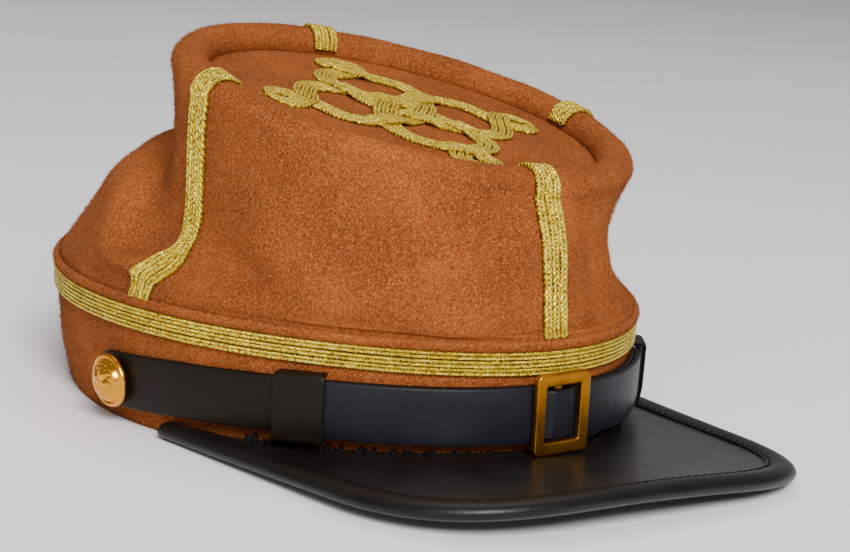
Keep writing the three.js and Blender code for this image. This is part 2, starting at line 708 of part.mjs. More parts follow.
function makeTop() {
  const top = new THREE.Group();
  const { across, back, up, centre } = rimFrame;
  top.position.copy(centre);
  top.setRotationFromMatrix(new THREE.Matrix4().makeBasis(across, back, up));
  top.add(makeTip(), makeKnot());
  return top;
}

const cap = new THREE.Group();
cap.add(makeBand(), makePiping(), makeCrownSide(), makeTop());
for (let row = 0; row < BRAID.rows; row += 1) {
  cap.add(makeBandBraid(row));
  for (const braid of CROWN_BRAIDS) cap.add(makeCrownBraid(braid, row));
}
cap.add(makeVisor(), makeBinding());
cap.add(makeStrapInner(), makeStrapOuter());
cap.add(makeKeeper('strap_keeper_right', -1), makeKeeper('strap_keeper_left', 1));
cap.add(makeBuckle());
cap.add(makeButton('button_right', -1), makeButton('button_left', 1));

// The bounding box's middle goes to the origin.
const middle = new THREE.Box3().setFromObject(cap, true).getCenter(new THREE.Vector3());
cap.position.set(-middle.x, -middle.y, 0);

const group = new THREE.Group();
group.add(cap);

export default group;
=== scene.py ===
import math

import bmesh
import bpy
import numpy as np
from bpy.props import FloatProperty, IntProperty, PointerProperty
from bpy.types import Operator, Panel, PropertyGroup
from mathutils import Matrix, Vector


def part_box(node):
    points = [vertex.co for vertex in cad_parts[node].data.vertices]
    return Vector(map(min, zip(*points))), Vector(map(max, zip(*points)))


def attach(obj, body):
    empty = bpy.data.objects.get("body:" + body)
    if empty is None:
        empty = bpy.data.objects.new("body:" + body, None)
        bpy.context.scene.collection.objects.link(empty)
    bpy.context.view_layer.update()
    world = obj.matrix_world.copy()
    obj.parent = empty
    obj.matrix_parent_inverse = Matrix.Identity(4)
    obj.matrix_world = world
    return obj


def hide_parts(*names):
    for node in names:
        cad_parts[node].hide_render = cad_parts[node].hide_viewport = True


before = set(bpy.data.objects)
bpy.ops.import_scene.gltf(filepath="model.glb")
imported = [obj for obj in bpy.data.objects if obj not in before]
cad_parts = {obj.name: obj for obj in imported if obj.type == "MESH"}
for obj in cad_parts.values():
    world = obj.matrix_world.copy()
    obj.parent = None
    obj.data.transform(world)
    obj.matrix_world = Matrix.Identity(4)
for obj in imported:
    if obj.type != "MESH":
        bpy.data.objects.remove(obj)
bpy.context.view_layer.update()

bl_info = {
    "name": "Officer's Kepi",
    "version": (1, 0, 0),
    "blender": (4, 5, 0),
    "location": "View3D > Sidebar > Kepi",
    "description": "Builds the cloth, braid, leather and brass of an officer's kepi",
    "category": "Add Mesh",
}

# Lengths in the tables are in millimetres, with the band's middle at x = y = 0, the front
# towards -Y and the wearer's left towards +X. Azimuths are in degrees from +X.

FRONT = -90
BAND = {"half_width": 85, "half_length": 105, "squeeze": 0.03, "top": 36.4, "wall": 2.2}
BAND_PROFILE = [
    {"height": 0, "inset": 5.8},
    {"height": 6, "inset": 4},
    {"height": 14, "inset": 2},
    {"height": 28, "inset": 0.4},
    {"height": 36.4, "inset": 0},
]

# The crown rises from its seam to a padded rim that leans forward and to the wearer's left.
CROWN = {"seam": 39.4, "cloth": 2}
RIM = {"x": 0.6, "y": -26.7, "height": 92.7, "radius": 67.2, "oval": 0.93, "roll": 5.5, "end": 200}
LEAN = {"forward": 12.5, "sideways": 5}
TIP = {"below": 0.6, "thickness": 2, "tucked": 1.6, "dip": 0.9, "dip_width": 0.14, "wave": 0.25}

# Sections of the crown's side: where the cloth meets the rim, and how far the neck and the
# shoulder lie under the rim's middle and outside the straight line from seam to rim.
SECTIONS = [
    {"azimuth": -180, "tuck": -10, "neck_down": 43, "neck_out": -12, "shoulder_down": 49, "shoulder_out": 3},
    {"azimuth": -166, "tuck": 0, "neck_down": 43, "neck_out": -10, "shoulder_down": 49, "shoulder_out": 2.5},
    {"azimuth": -148, "tuck": 0, "neck_down": 36, "neck_out": -4, "shoulder_down": 46, "shoulder_out": 1},
    {"azimuth": -115, "tuck": 0, "neck_down": 26, "neck_out": -1, "shoulder_down": 40, "shoulder_out": 0},
    {"azimuth": -88, "tuck": -10, "neck_down": 18, "neck_out": 1, "shoulder_down": 38, "shoulder_out": -2},
    {"azimuth": -65, "tuck": -15, "neck_down": 20, "neck_out": -4, "shoulder_down": 32, "shoulder_out": -5},
    {"azimuth": -44, "tuck": -20, "neck_down": 20, "neck_out": -10, "shoulder_down": 31, "shoulder_out": -8},
    {"azimuth": 0, "tuck": -40, "neck_down": 18, "neck_out": -8, "shoulder_down": 30, "shoulder_out": -3},
    {"azimuth": 45, "tuck": -50, "neck_down": 24, "neck_out": -16, "shoulder_down": 32, "shoulder_out": -3},
    {"azimuth": 90, "tuck": -40, "neck_down": 35, "neck_out": -25, "shoulder_down": 41, "shoulder_out": -8},
    {"azimuth": 115, "tuck": -30, "neck_down": 33, "neck_out": -25, "shoulder_down": 39, "shoulder_out": -8},
    {"azimuth": 136, "tuck": -20, "neck_down": 25, "neck_out": -19, "shoulder_down": 31, "shoulder_out": -6},
    {"azimuth": 162, "tuck": -15, "neck_down": 28, "neck_out": -15, "shoulder_down": 34, "shoulder_out": 0},
]

# The wool welt over the band's top: its cord's middle, its half widths and its stitches.
WELT = {"middle": 37.95, "out": 0.35, "half_out": 1.25, "half_up": 1.5, "stitch": 1.9}

# The nap's length on each cloth as a share of the setting, the share of the band's fibres that
# stand on the welt, and how far off the band those stand.
NAP = {"crown": 1.0, "top": 0.8, "band": 0.9, "on_welt": 0.14, "welt_lift": 1.5}

# Soft dents (negative depth) and folds of the crown's side. Slant turns a fold, in degrees of
# azimuth over the full height.
FOLDS = [
    {"azimuth": -150, "level": 0.52, "width": 5.2, "height": 0.16, "slant": 55, "depth": -2.3},
    {"azimuth": -139, "level": 0.56, "width": 6, "height": 0.17, "slant": 45, "depth": 1.5},
    {"azimuth": -128, "level": 0.3, "width": 9, "height": 0.07, "slant": 0, "depth": -1.0},
    {"azimuth": -172, "level": 0.42, "width": 4, "height": 0.2, "slant": -30, "depth": 1.9},
    {"azimuth": -178, "level": 0.5, "width": 4, "height": 0.2, "slant": -40, "depth": -2.2},
    {"azimuth": -118, "level": 0.14, "width": 26, "height": 0.07, "slant": 0, "depth": 1.4},
    {"azimuth": -72, "level": 0.52, "width": 3, "height": 0.34, "slant": 12, "depth": -1.6},
    {"azimuth": -63, "level": 0.5, "width": 3.4, "height": 0.36, "slant": 14, "depth": 1.5},
    {"azimuth": -54, "level": 0.46, "width": 3, "height": 0.3, "slant": 10, "depth": -1.6},
    {"azimuth": -44, "level": 0.45, "width": 4, "height": 0.3, "slant": 6, "depth": 1.4},
    {"azimuth": 30, "level": 0.5, "width": 6, "height": 0.25, "slant": 20, "depth": -1.3},
    {"azimuth": 62, "level": 0.45, "width": 7, "height": 0.22, "slant": -20, "depth": 1.2},
    {"azimuth": 118, "level": 0.48, "width": 6, "height": 0.2, "slant": 25, "depth": -1.4},
]

BRAID = {"rows": 3, "thickness": 1.25, "pitch": 2.85, "lift": 0.15}
BAND_BRAID = {"bottom": 29.7, "pitch": 2.3}
CROWN_BRAIDS = {
    "front": [{"level": 0, "azimuth": -90.2}, {"level": 1, "azimuth": -88}],
    "back": [{"level": 0, "azimuth": 90}, {"level": 1, "azimuth": 84}],
    "left": [{"level": 0, "azimuth": -11}, {"level": 1, "azimuth": 1}],
    "right": [
        {"level": 0, "azimuth": -169.4},
        {"level": 0.25, "azimuth": -169.4},
        {"level": 0.5, "azimuth": -167.4},
        {"level": 0.75, "azimuth": -170.5},
        {"level": 1, "azimuth": -179},
    ],
}

# One quarter of the knot's strand, from an eye's end through the middle to the next eye.
KNOT = {"pitch": 2.5, "turn": -4, "lift": 0.8, "gather": 8, "over": 3.6, "ease": 4}
KNOT_QUARTER = [
    {"across": 0, "back": 47.3},
    {"across": -4.8, "back": 43},
    {"across": -3.6, "back": 38.4},
    {"across": 0, "back": 34.5},
    {"across": 8, "back": 31},
    {"across": 14.4, "back": 25.5},
    {"across": 14.6, "back": 16},
    {"across": 9, "back": 3},
    {"across": 0, "back": -7},
    {"across": -12, "back": -12.4},
    {"across": -22, "back": -14.8},
    {"across": -29, "back": -12},
    {"across": -32.4, "back": -5},
    {"across": -34.5, "back": 0},
    {"across": -38.4, "back": 3.6},
    {"across": -43, "back": 4.8},
    {"across": -47.3, "back": 0},
]

VISOR = {
    "end_y": -30, "corner_x": 71, "front_y": -151.5, "corner_radius": 46, "bow": 2,
    "thickness": 2.2, "base": 2.5, "rise": 6, "droop": 4, "lean": 0.03,
}
BINDING = {"radius": 2.2, "flange": 7}

# Half the binding's section, from the flange's edge round to the outermost line.
BINDING_PROFILE = [
    {"inwards": 7.0, "lift": 1.15},
    {"inwards": 6.8, "lift": 1.7},
    {"inwards": 6.3, "lift": 1.95},
    {"inwards": 5.7, "lift": 1.75},
    {"inwards": 5.2, "lift": 1.8},
    {"inwards": 4.2, "lift": 2.2},
    {"inwards": 2.8, "lift": 2.5},
    {"inwards": 1.2, "lift": 2.5},
    {"inwards": -0.4, "lift": 2.15},
    {"inwards": -1.5, "lift": 1.4},
    {"inwards": -2.1, "lift": 0.4},
]

# The binding's stitches lie in from the rim. The whip stitches climb from the visor, a `reach`
# outside the band, to the band at `top`.
STITCH = {"inwards": 5.6, "lift": 1.85, "width": 0.55, "from": 0.14, "to": 0.8}
WHIP = {"first": -147, "last": -33, "foot": 3.5, "reach": 3.6, "top": 5.9, "girth": 0.68, "over": 1.0}

STRAP = {"half_width": 8.2, "thickness": 1.5, "lift": 0.5, "flare": 1.7, "end": 7.5, "corner": 4}
STRAP_COURSE = [
    {"from_front": 0, "height": 19.2},
    {"from_front": 42, "height": 17.8},
    {"from_front": 57, "height": 16.9},
    {"from_front": 71, "height": 15.6},
    {"from_front": 85, "height": 13.4},
    {"from_front": 95, "height": 12},
]
BUTTON = {"from_front": 84.4, "radius": 7.9, "dome": 5, "lift": 0.6}
# The button's turned edge, from its back round to the foot of the dome.
BUTTON_EDGE = [
    {"inset": 1, "up": 0},
    {"inset": 0.4, "up": 0.2},
    {"inset": 0.05, "up": 0.7},
    {"inset": 0, "up": 1.2},
    {"inset": 0.1, "up": 1.7},
    {"inset": 0.45, "up": 2.1},
    {"inset": 0.9, "up": 2.2},
    {"inset": 1.25, "up": 1.95},
    {"inset": 1.45, "up": 1.75},
]
# One edge of the strap's section, from the back to the front: its share of the thickness and
# how far it is rounded in.
STRAP_EDGE = [
    {"rise": 0, "trim": 0.36},
    {"rise": 0.05, "trim": 0.0675},
    {"rise": 0.3, "trim": 0},
    {"rise": 0.75, "trim": 0.0675},
    {"rise": 0.95, "trim": 0.225},
    {"rise": 1, "trim": 0.495},
]
KEEPER = {"from_front": 47, "width": 13.7, "leather": 1.3, "slack": 0.1, "corner": 1.3}
BUCKLE = {
    "width": 18.2, "height": 23.4, "window_width": 11.8, "window_height": 16.2, "corner": 2,
    "thickness": 2, "bar": 2.4, "post": 1.3, "pinch": 1.2, "above": 0.6, "aside": -0.8,
    "tilt": 2, "yaw": -3, "turn": 3,
}
GAP = 0.35

# Where the camera stands: its turn from straight ahead and its height angle, its roll, its
# distance and how far it is moved sideways and up, seen from the front.
VIEW = {"turn": -37.7, "elevation": 10.86, "roll": 4.06, "distance": 700, "aside": -24.77, "up": 22.74}
LENS = {"focal_share": 2244.3 / 850, "sensor": 36}

BAND_LOW, BAND_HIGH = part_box("band")
MIDDLE = (BAND_LOW + BAND_HIGH) / 2
MM = 0.001
TO_ROW = Matrix.Translation((MIDDLE.x, MIDDLE.y, 0)) @ Matrix.Scale(MM, 4)


# ---------- Shape formulas, on numpy arrays ----------


def look_up(table, key, column, at):
    """Straight interpolation in a table."""
    return np.interp(at, [row[key] for row in table], [row[column] for row in table])


def smooth(share):
    share = np.clip(share, 0, 1)
    return share * share * (3 - 2 * share)


def look_round(column, azimuth):
    """Smooth interpolation round the head in the crown's sections."""
    keys = np.array([row["azimuth"] for row in SECTIONS] + [SECTIONS[0]["azimuth"] + 360.0])
    values = np.array([row[column] for row in SECTIONS] + [SECTIONS[0][column]], float)
    turn = (np.asarray(azimuth, float) + 180) % 360 - 180
    after = np.clip(np.searchsorted(keys, turn), 1, len(keys) - 1)
    share = smooth((turn - keys[after - 1]) / (keys[after] - keys[after - 1]))
    return values[after - 1] + (values[after] - values[after - 1]) * share


def points(x, y, z):
    return np.stack(np.broadcast_arrays(x, y, z), axis=-1).astype(float)


def unit(vectors):
    return vectors / np.maximum(np.linalg.norm(vectors, axis=-1, keepdims=True), 1e-9)


def band_point(azimuth, height, offset=0.0):
    """Point on the band's oval, `offset` outside its outer face."""
    reach = offset - look_up(BAND_PROFILE, "height", "inset", height)
    angle = np.radians(azimuth)
    squeeze = 1 - BAND["squeeze"] * np.sin(2 * angle) ** 2
    x = (BAND["half_width"] * squeeze + reach) * np.cos(angle)
    y = (BAND["half_length"] * squeeze + reach) * np.sin(angle)
    return points(x, y, height)


def rim_frame():
    """The rim's own directions: across to the wearer's left, back to the rear, and up."""
    sideways, forward = math.radians(LEAN["sideways"]), math.radians(LEAN["forward"])
    across = Vector((math.cos(sideways), 0, -math.sin(sideways)))
    rear = Vector((0, math.cos(forward), math.sin(forward)))
    up = across.cross(rear).normalized()
    back = up.cross(across).normalized()
    return np.array(across), np.array(back), np.array(up)


ACROSS, BACK, UP = rim_frame()
CENTRE = np.array((RIM["x"], RIM["y"], RIM["height"]))


def rim_point(azimuth, angle):
    """Point of the padded rim, at an angle from its outermost line over the top."""
    turn, angle = np.radians(azimuth)[..., None], np.radians(angle)[..., None]
    out = ACROSS * np.cos(turn) + BACK * np.sin(turn)
    wide, deep = RIM["radius"] * np.cos(turn), RIM["radius"] * RIM["oval"] * np.sin(turn)
    middle = CENTRE + ACROSS * wide + BACK * deep
    return middle + out * RIM["roll"] * np.cos(angle) + UP * RIM["roll"] * np.sin(angle)


def side_point(azimuth, level):
    """Point of the crown's side, a quadratic spline through the section's corners."""
    seam = band_point(azimuth, BAND["top"])
    seam[..., 2] = CROWN["seam"]
    brim = rim_point(azimuth, np.zeros_like(azimuth))
    out = points(np.cos(np.radians(azimuth)), np.sin(np.radians(azimuth)), 0)

    def corner(down, aside):
        share = 1 - look_round(down, azimuth) / (brim[..., 2] - CROWN["seam"])
        return seam + (brim - seam) * share[..., None] + out * look_round(aside, azimuth)[..., None]

    shoulder, neck = corner("shoulder_down", "shoulder_out"), corner("neck_down", "neck_out")
    top = rim_point(azimuth, look_round("tuck", azimuth))
    corners = np.stack(
        [seam, seam + (shoulder - seam) * 0.6, shoulder, neck, neck + (top - neck) * 0.6, top]
    )
    spans = len(corners) - 2
    span = np.clip((level * spans).astype(int), 0, spans - 1)
    pick = lambda k: np.take_along_axis(corners, k[None, ..., None], axis=0)[0]
    before, turning, after = pick(span), pick(span + 1), pick(span + 2)
    start = np.where((span == 0)[..., None], before, (before + turning) / 2)
    end = np.where((span == spans - 1)[..., None], after, (turning + after) / 2)
    t = (level * spans - span)[..., None]
    return start * (1 - t) ** 2 + turning * 2 * t * (1 - t) + end * t**2


def crown_point(azimuth, level):
    """Outer face of the crown: `level` 0 to 1 is the side cloth, 1 to 2 the padded rim."""
    azimuth, level = np.broadcast_arrays(np.asarray(azimuth, float), np.asarray(level, float))
    tuck = look_round("tuck", azimuth)
    rim = rim_point(azimuth, tuck + (RIM["end"] - tuck) * (level - 1))
    side = side_point(azimuth, np.clip(level, 0, 1))
    return np.where((level < 1)[..., None], side, rim)


def crown_frame(azimuth, level):
    """Place, outward normal and the two directions of the crown's surface."""
    azimuth, level = np.broadcast_arrays(np.asarray(azimuth, float), np.asarray(level, float))
    small = 0.012
    steady = np.maximum(level, small)
    around = (crown_point(azimuth + 1, level) - crown_point(azimuth - 1, level)) / 2
    rise = (crown_point(azimuth, steady + small) - crown_point(azimuth, steady - small)) / (2 * small)
    return crown_point(azimuth, level), unit(np.cross(around, rise)), around, rise


def relief(azimuth, level):
    """How far folds, dents and a slow unevenness move the crown's cloth outwards."""
    moved = np.zeros(np.broadcast(azimuth, level).shape)
    for fold in FOLDS:
        middle = fold["azimuth"] + fold["slant"] * (fold["level"] - level)
        aside = ((azimuth - middle + 180) % 360 - 180) / fold["width"]
        up = (level - fold["level"]) / fold["height"]
        moved = moved + fold["depth"] * np.exp(-(aside**2) - up**2)
    waves = np.random.default_rng(7)
    turn = np.radians(azimuth)
    for _ in range(14):
        round_, rise = waves.integers(3, 17), waves.uniform(-9, 9)
        phase, size = waves.uniform(0, 2 * math.pi), waves.uniform(0.05, 0.2)
        moved = moved + size * np.sin(round_ * turn + rise * level + phase)
    free = smooth(level / 0.12) * (0.35 + 0.65 * smooth((1.25 - level) / 0.3))
    return moved * free


def crown_skin(azimuth, level, lift=0.0):
    """Point and normal on the crown's finished cloth, `lift` outside it."""
    place, normal, around, rise = crown_frame(azimuth, level)
    out = (relief(azimuth, level) + lift)[..., None]
    return place + normal * out, normal, around, rise


def visor_height(x, y):
    forward = (y - VISOR["end_y"]) / (VISOR["front_y"] - VISOR["end_y"])
    corner = VISOR["droop"] * (x / VISOR["corner_x"]) ** 2 + VISOR["lean"] * x
    return VISOR["base"] + forward * (VISOR["rise"] - corner)


def bezier(start, turning, end, steps):
    t = np.linspace(0, 1, steps)[:, None]
    return start * (1 - t) ** 2 + turning * 2 * t * (1 - t) + end * t**2


def resample(line, count):
    """Evenly spaced points along a line, and its direction at each."""
    lengths = np.concatenate([[0], np.cumsum(np.linalg.norm(np.diff(line, axis=0), axis=1))])
    at = np.linspace(0, lengths[-1], count)
    pick = lambda s: np.stack([np.interp(s, lengths, line[:, k]) for k in range(line.shape[1])], axis=1)
    ahead = pick(np.minimum(at + 0.3, lengths[-1])) - pick(np.maximum(at - 0.3, 0))
    return pick(at), unit(ahead), at


def band_end_x():
    low = band_point(0, VISOR["base"])[..., 0]
    deep = -band_point(FRONT, VISOR["base"])[..., 1]
    return low * math.sqrt(1 - (VISOR["end_y"] / deep) ** 2)


def visor_outline(count):
    """The visor's outer line in plan, its inward direction and the points on the band."""
    end = np.array((-band_end_x() - BINDING["radius"] - 1.5, VISOR["end_y"]))
    corner = np.array((-VISOR["corner_x"], VISOR["front_y"] + VISOR["bow"]))
    front = np.array((0, VISOR["front_y"] - VISOR["bow"]))
    side = unit(corner - end)
    back = math.tan(math.acos(side[0]) / 2) * VISOR["corner_radius"]
    before = corner - side * back
    after = corner + (front - corner) * back / np.linalg.norm(front - corner)
    flip = np.array((-1, 1))
    line = np.concatenate([
        np.linspace(end, before, 30),
        bezier(before, corner, after, 40)[1:],
        bezier(after, front, after * flip, 40)[1:],
        bezier(after * flip, corner * flip, before * flip, 40)[1:],
        np.linspace(before * flip, end * flip, 30)[1:],
    ])
    rim, along, at = resample(line, count)
    inward = np.stack([-along[:, 1], along[:, 0]], axis=1)
    deep = -band_point(FRONT, VISOR["base"])[..., 1]
    first = -math.pi + math.asin(-VISOR["end_y"] / deep)
    azimuth = np.linspace(first, -math.pi - first, count)
    height = visor_height(0, deep * np.sin(azimuth))
    root = band_point(np.degrees(azimuth), height, GAP)[:, :2]
    return rim, inward, root, at


def strap_height(azimuth):
    return look_up(STRAP_COURSE, "from_front", "height", np.abs(azimuth - FRONT))


def strap_point(azimuth, above, lift=0.0):
    """Point on the strap's course: it stands more upright than the band behind it."""
    flare = STRAP["flare"] * (0.5 - above / (2 * STRAP["half_width"]))
    return band_point(azimuth, strap_height(azimuth) + above, lift + flare)


def per_degree(azimuth):
    """Millimetres along the band for each degree of azimuth."""
    ahead, behind = band_point(azimuth + 0.5, 8.2), band_point(azimuth - 0.5, 8.2)
    return np.linalg.norm(ahead - behind, axis=-1)


# ---------- Mesh building ----------


def skin(places, ring=False, tube=False, caps=False, uv=(1.0, 1.0)):
    """A grid of quads laid on an array of places. A ring joins its last row to its first, a
    tube its last column to its first, and uv gives the grid's two lengths in millimetres."""
    rows, columns = places.shape[0] - 1, places.shape[1] - 1
    bm = bmesh.new()
    layer = bm.loops.layers.uv.new("UVMap")
    bmesh.ops.create_grid(bm, x_segments=rows, y_segments=columns, size=0.5, calc_uvs=True)
    for vert in bm.verts:
        i, j = round((vert.co.x + 0.5) * rows), round((vert.co.y + 0.5) * columns)
        vert.co = places[i, j]
    for face in bm.faces:
        face.smooth = True
        for loop in face.loops:
            loop[layer].uv = (loop[layer].uv.x * uv[0], loop[layer].uv.y * uv[1])
    if ring or tube:
        bmesh.ops.remove_doubles(bm, verts=bm.verts, dist=0.002)
    if caps:
        ends = [edge for edge in bm.edges if edge.is_boundary]
        bmesh.ops.holes_fill(bm, edges=ends, sides=0)
    bmesh.ops.recalc_face_normals(bm, faces=bm.faces)
    return bm


def face_out(bm, centre):
    """Turns an open sheet so that its faces point away from a centre."""
    total = sum((face.normal.dot(face.calc_center_median() - centre) * face.calc_area()) for face in bm.faces)
    if total < 0:
        bmesh.ops.reverse_faces(bm, faces=bm.faces)


def joined(meshes):
    """Several meshes as one."""
    whole = bmesh.new()
    for part in meshes:
        part.normal_update()
        spare = bpy.data.meshes.new("spare")
        part.to_mesh(spare)
        part.free()
        whole.from_mesh(spare)
        bpy.data.meshes.remove(spare)
    return whole


def add_piece(name, bm, material, nodes, thickness=0.0):
    """Makes a finished object of a mesh in millimetres, riding on the frame."""
    bmesh.ops.transform(bm, matrix=TO_ROW, verts=bm.verts)
    mesh = bpy.data.meshes.new(name)
    bm.to_mesh(mesh)
    bm.free()
    piece = bpy.data.objects.new(name, mesh)
    bpy.context.scene.collection.objects.link(piece)
    mesh.materials.append(material)
    if thickness:
        wall = piece.modifiers.new("wall", "SOLIDIFY")
        wall.thickness, wall.offset, wall.use_even_offset = thickness * MM, -1, True
    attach(piece, "root")
    if nodes:
        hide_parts(*nodes)


def fuzz(roots, normals, length, width, lie, seed):
    """Loose fibres of wool: one thin curved strip on each root."""
    count = len(roots)
    dice = np.random.default_rng(seed)
    aside = unit(np.cross(normals, dice.normal(size=(count, 3))))
    lean = dice.uniform(0.25, 1, size=(count, 1)) * lie
    reach = length * dice.uniform(0.45, 1.25, size=(count, 1))
    start = unit(normals + aside * lean)
    curl = unit(aside + np.cross(normals, aside) * dice.normal(0, 0.9, size=(count, 1)))
    middle = roots + start * reach * 0.5
    tip = middle + unit(start * 0.45 + curl * 0.75 + normals * 0.1) * reach * 0.5
    flat = unit(np.cross(start, dice.normal(size=(count, 3)))) * width / 2
    spine = np.stack([roots - normals * 0.15, middle, tip], axis=1)
    taper = np.array((1.0, 0.85, 0.25))[None, :, None]
    strips = np.stack([spine - flat[:, None] * taper, spine + flat[:, None] * taper], axis=1)
    strips[..., 2] = np.maximum(strips[..., 2], 0.1)
    columns = 2 * count - 1
    bm = bmesh.new()
    bmesh.ops.create_grid(bm, x_segments=columns, y_segments=2, size=0.5)
    between = [face for face in bm.faces if int((face.calc_center_median().x + 0.5) * columns) % 2]
    bmesh.ops.delete(bm, geom=between, context="FACES")
    for vert in bm.verts:
        column = round((vert.co.x + 0.5) * columns)
        vert.co = strips[column // 2, column % 2, round((vert.co.y + 0.5) * 2)]
    return bm


def braid_section(width, thickness):
    """Offsets across and up of one row of soutache: two cords with a groove between them."""
    across = np.linspace(-1, 1, 13)
    hump = np.sqrt(np.clip(1 - (2 * np.abs(across) - 1) ** 2, 0, 1))
    up = thickness * (0.35 + 0.65 * hump)
    up[[0, -1]] = thickness * 0.1
    across = np.concatenate([across, [0.6, -0.6, -1]])
    up = np.concatenate([up, [-0.1, -0.1, thickness * 0.1]])
    return across * width / 2, up


def unevenness(count, size, seed):
    """A slow random wander along a row, as hand sewing has."""
    dice = np.random.default_rng(seed)
    t = np.linspace(0, 2 * math.pi, count)
    total = np.zeros(count)
    for k in range(3, 14):
        total += np.sin(k * t + dice.uniform(0, 2 * math.pi)) * dice.uniform(0.3, 1) / k
    return total * size


def bead(start, end, width, bm):
    """One stitch: a stretched bead between two points."""
    start, end = Vector(start), Vector(end)
    turn = (end - start).to_track_quat("X", "Z").to_matrix().to_4x4()
    length = (end - start).length
    size = Matrix.Diagonal((length / 2, width / 2, width / 2, 1))
    place = Matrix.Translation((start + end) / 2) @ turn @ size
    bmesh.ops.create_icosphere(bm, subdivisions=2, radius=1, matrix=place)


# ---------- Materials ----------


def blank_material(name):
    material = bpy.data.materials.new(name)
    material.use_nodes = True
    shader = material.node_tree.nodes["Principled BSDF"]
    return material, material.node_tree, shader


def node(tree, kind, values=None, **settings):
    made = tree.nodes.new(kind)
    for key, value in settings.items():
        setattr(made, key, value)
    for key, value in (values or {}).items():
        socket = made.inputs[key]
        if isinstance(value, bpy.types.NodeSocket):
            tree.links.new(value, socket)
        else:
            socket.default_value = value
    return made


def ramp(tree, factor, stops):
    made = node(tree, "ShaderNodeValToRGB", {"Fac": factor})
    ends = made.color_ramp.elements
    for place, colour in stops[1:-1]:
        ends.new(place)
    for element, (place, colour) in zip(sorted(ends, key=lambda e: e.position), stops):
        element.position, element.color = place, (*colour, 1)
    return made.outputs["Color"]


def maths(tree, operation, first, second=0.0):
    return node(tree, "ShaderNodeMath", {0: first, 1: second}, operation=operation).outputs[0]


def noise(tree, coords, scale, detail=3.0, rough=0.55):
    values = {"Vector": coords, "Scale": scale, "Detail": detail, "Roughness": rough}
    return node(tree, "ShaderNodeTexNoise", values).outputs["Fac"]


def mixed(tree, factor, first, second, blend="MIX"):
    made = node(tree, "ShaderNodeMix", data_type="RGBA", blend_type=blend)
    for key, value in (("Factor_Float", factor), ("A_Color", first), ("B_Color", second)):
        socket = next(s for s in made.inputs if s.identifier == key)
        if isinstance(value, bpy.types.NodeSocket):
            tree.links.new(value, socket)
        else:
            socket.default_value = value
    return next(s for s in made.outputs if s.identifier == "Result_Color")


def bump(tree, height, strength, distance, normal=None):
    values = {"Height": height, "Strength": strength, "Distance": distance}
    if normal is not None:
        values["Normal"] = normal
    return node(tree, "ShaderNodeBump", values).outputs["Normal"]


def wool_material(name, weave):
    """Rust wool broadcloth: a fine plain weave under a soft nap, with lighter fibre flecks and a painted
    highlight on the weave's raised crossings.
    """
    material, tree, shader = blank_material(name)
    coords = node(tree, "ShaderNodeTexCoord")
    place = coords.outputs["Object"]
    blotch = noise(tree, place, 38, 4)
    nap = noise(tree, place, 1250, 3)
    fleck = noise(tree, place, 1900, 4, 0.7)
    dark, rust, faded = (0.125, 0.0215, 0.0018), (0.178, 0.034, 0.0034), (0.26, 0.057, 0.0085)
    base = ramp(tree, blotch, [(0.3, dark), (0.5, rust), (0.72, faded)])
    worn = ramp(tree, nap, [(0.36, (0.62, 0.57, 0.52)), (0.5, (1.0, 1.0, 1.0)), (0.66, (1.35, 1.5, 1.65))])
    colour = mixed(tree, 0.8, base, worn, "MULTIPLY")
    light = ramp(tree, fleck, [(0.5, (0, 0, 0)), (0.66, (1, 1, 1))])
    colour = mixed(tree, maths(tree, "MULTIPLY", light, 0.6), colour, (0.54, 0.2, 0.07, 1))
    height = maths(tree, "ADD", maths(tree, "MULTIPLY", nap, 0.7), fleck)
    if weave:
        parts = node(tree, "ShaderNodeSeparateXYZ", {0: coords.outputs["UV"]})
        warp = maths(tree, "SINE", maths(tree, "MULTIPLY", parts.outputs[0], 2 * math.pi / weave))
        weft = maths(tree, "SINE", maths(tree, "MULTIPLY", parts.outputs[1], 2 * math.pi / weave))
        threads = maths(tree, "MULTIPLY", warp, weft)
        height = maths(tree, "ADD", height, maths(tree, "MULTIPLY", threads, 0.32))
        # Painted highlight: the weave's raised crossings are painted lighter, in patches that follow the nap.
        lit = maths(tree, "MULTIPLY_ADD", threads, 0.2)
        lit.node.inputs[2].default_value = 0.12
        painted_weave_highlight = maths(tree, "MULTIPLY", maths(tree, "MAXIMUM", lit, 0.0), nap)
        colour = mixed(tree, painted_weave_highlight, colour, (0.58, 0.26, 0.11, 1))
    tree.links.new(colour, shader.inputs["Base Color"])
    tree.links.new(bump(tree, height, 0.6, 0.0003), shader.inputs["Normal"])
    shader.inputs["Roughness"].default_value = 0.95
    shader.inputs["Specular IOR Level"].default_value = 0.05
    shader.inputs["Sheen Weight"].default_value = 0.05
    shader.inputs["Sheen Roughness"].default_value = 0.55
    shader.inputs["Sheen Tint"].default_value = (1.0, 0.45, 0.18, 1)
    return material


def fibre_material():
    """Single wool fibres, from dark rust to pale."""
    material, tree, shader = blank_material("wool_fibre")
    place = node(tree, "ShaderNodeTexCoord").outputs["Object"]
    tint = noise(tree, place, 900, 1)
    dark, rust, pale = (0.17, 0.034, 0.006), (0.26, 0.057, 0.011), (0.45, 0.15, 0.045)
    colour = ramp(tree, tint, [(0.3, dark), (0.55, rust), (0.75, pale)])
    tree.links.new(colour, shader.inputs["Base Color"])
    fine = noise(tree, place, 4000, 1)
    tree.links.new(bump(tree, fine, 0.2, 0.0001), shader.inputs["Normal"])
    shader.inputs["Roughness"].default_value = 0.9
    shader.inputs["Specular IOR Level"].default_value = 0.06
    return material


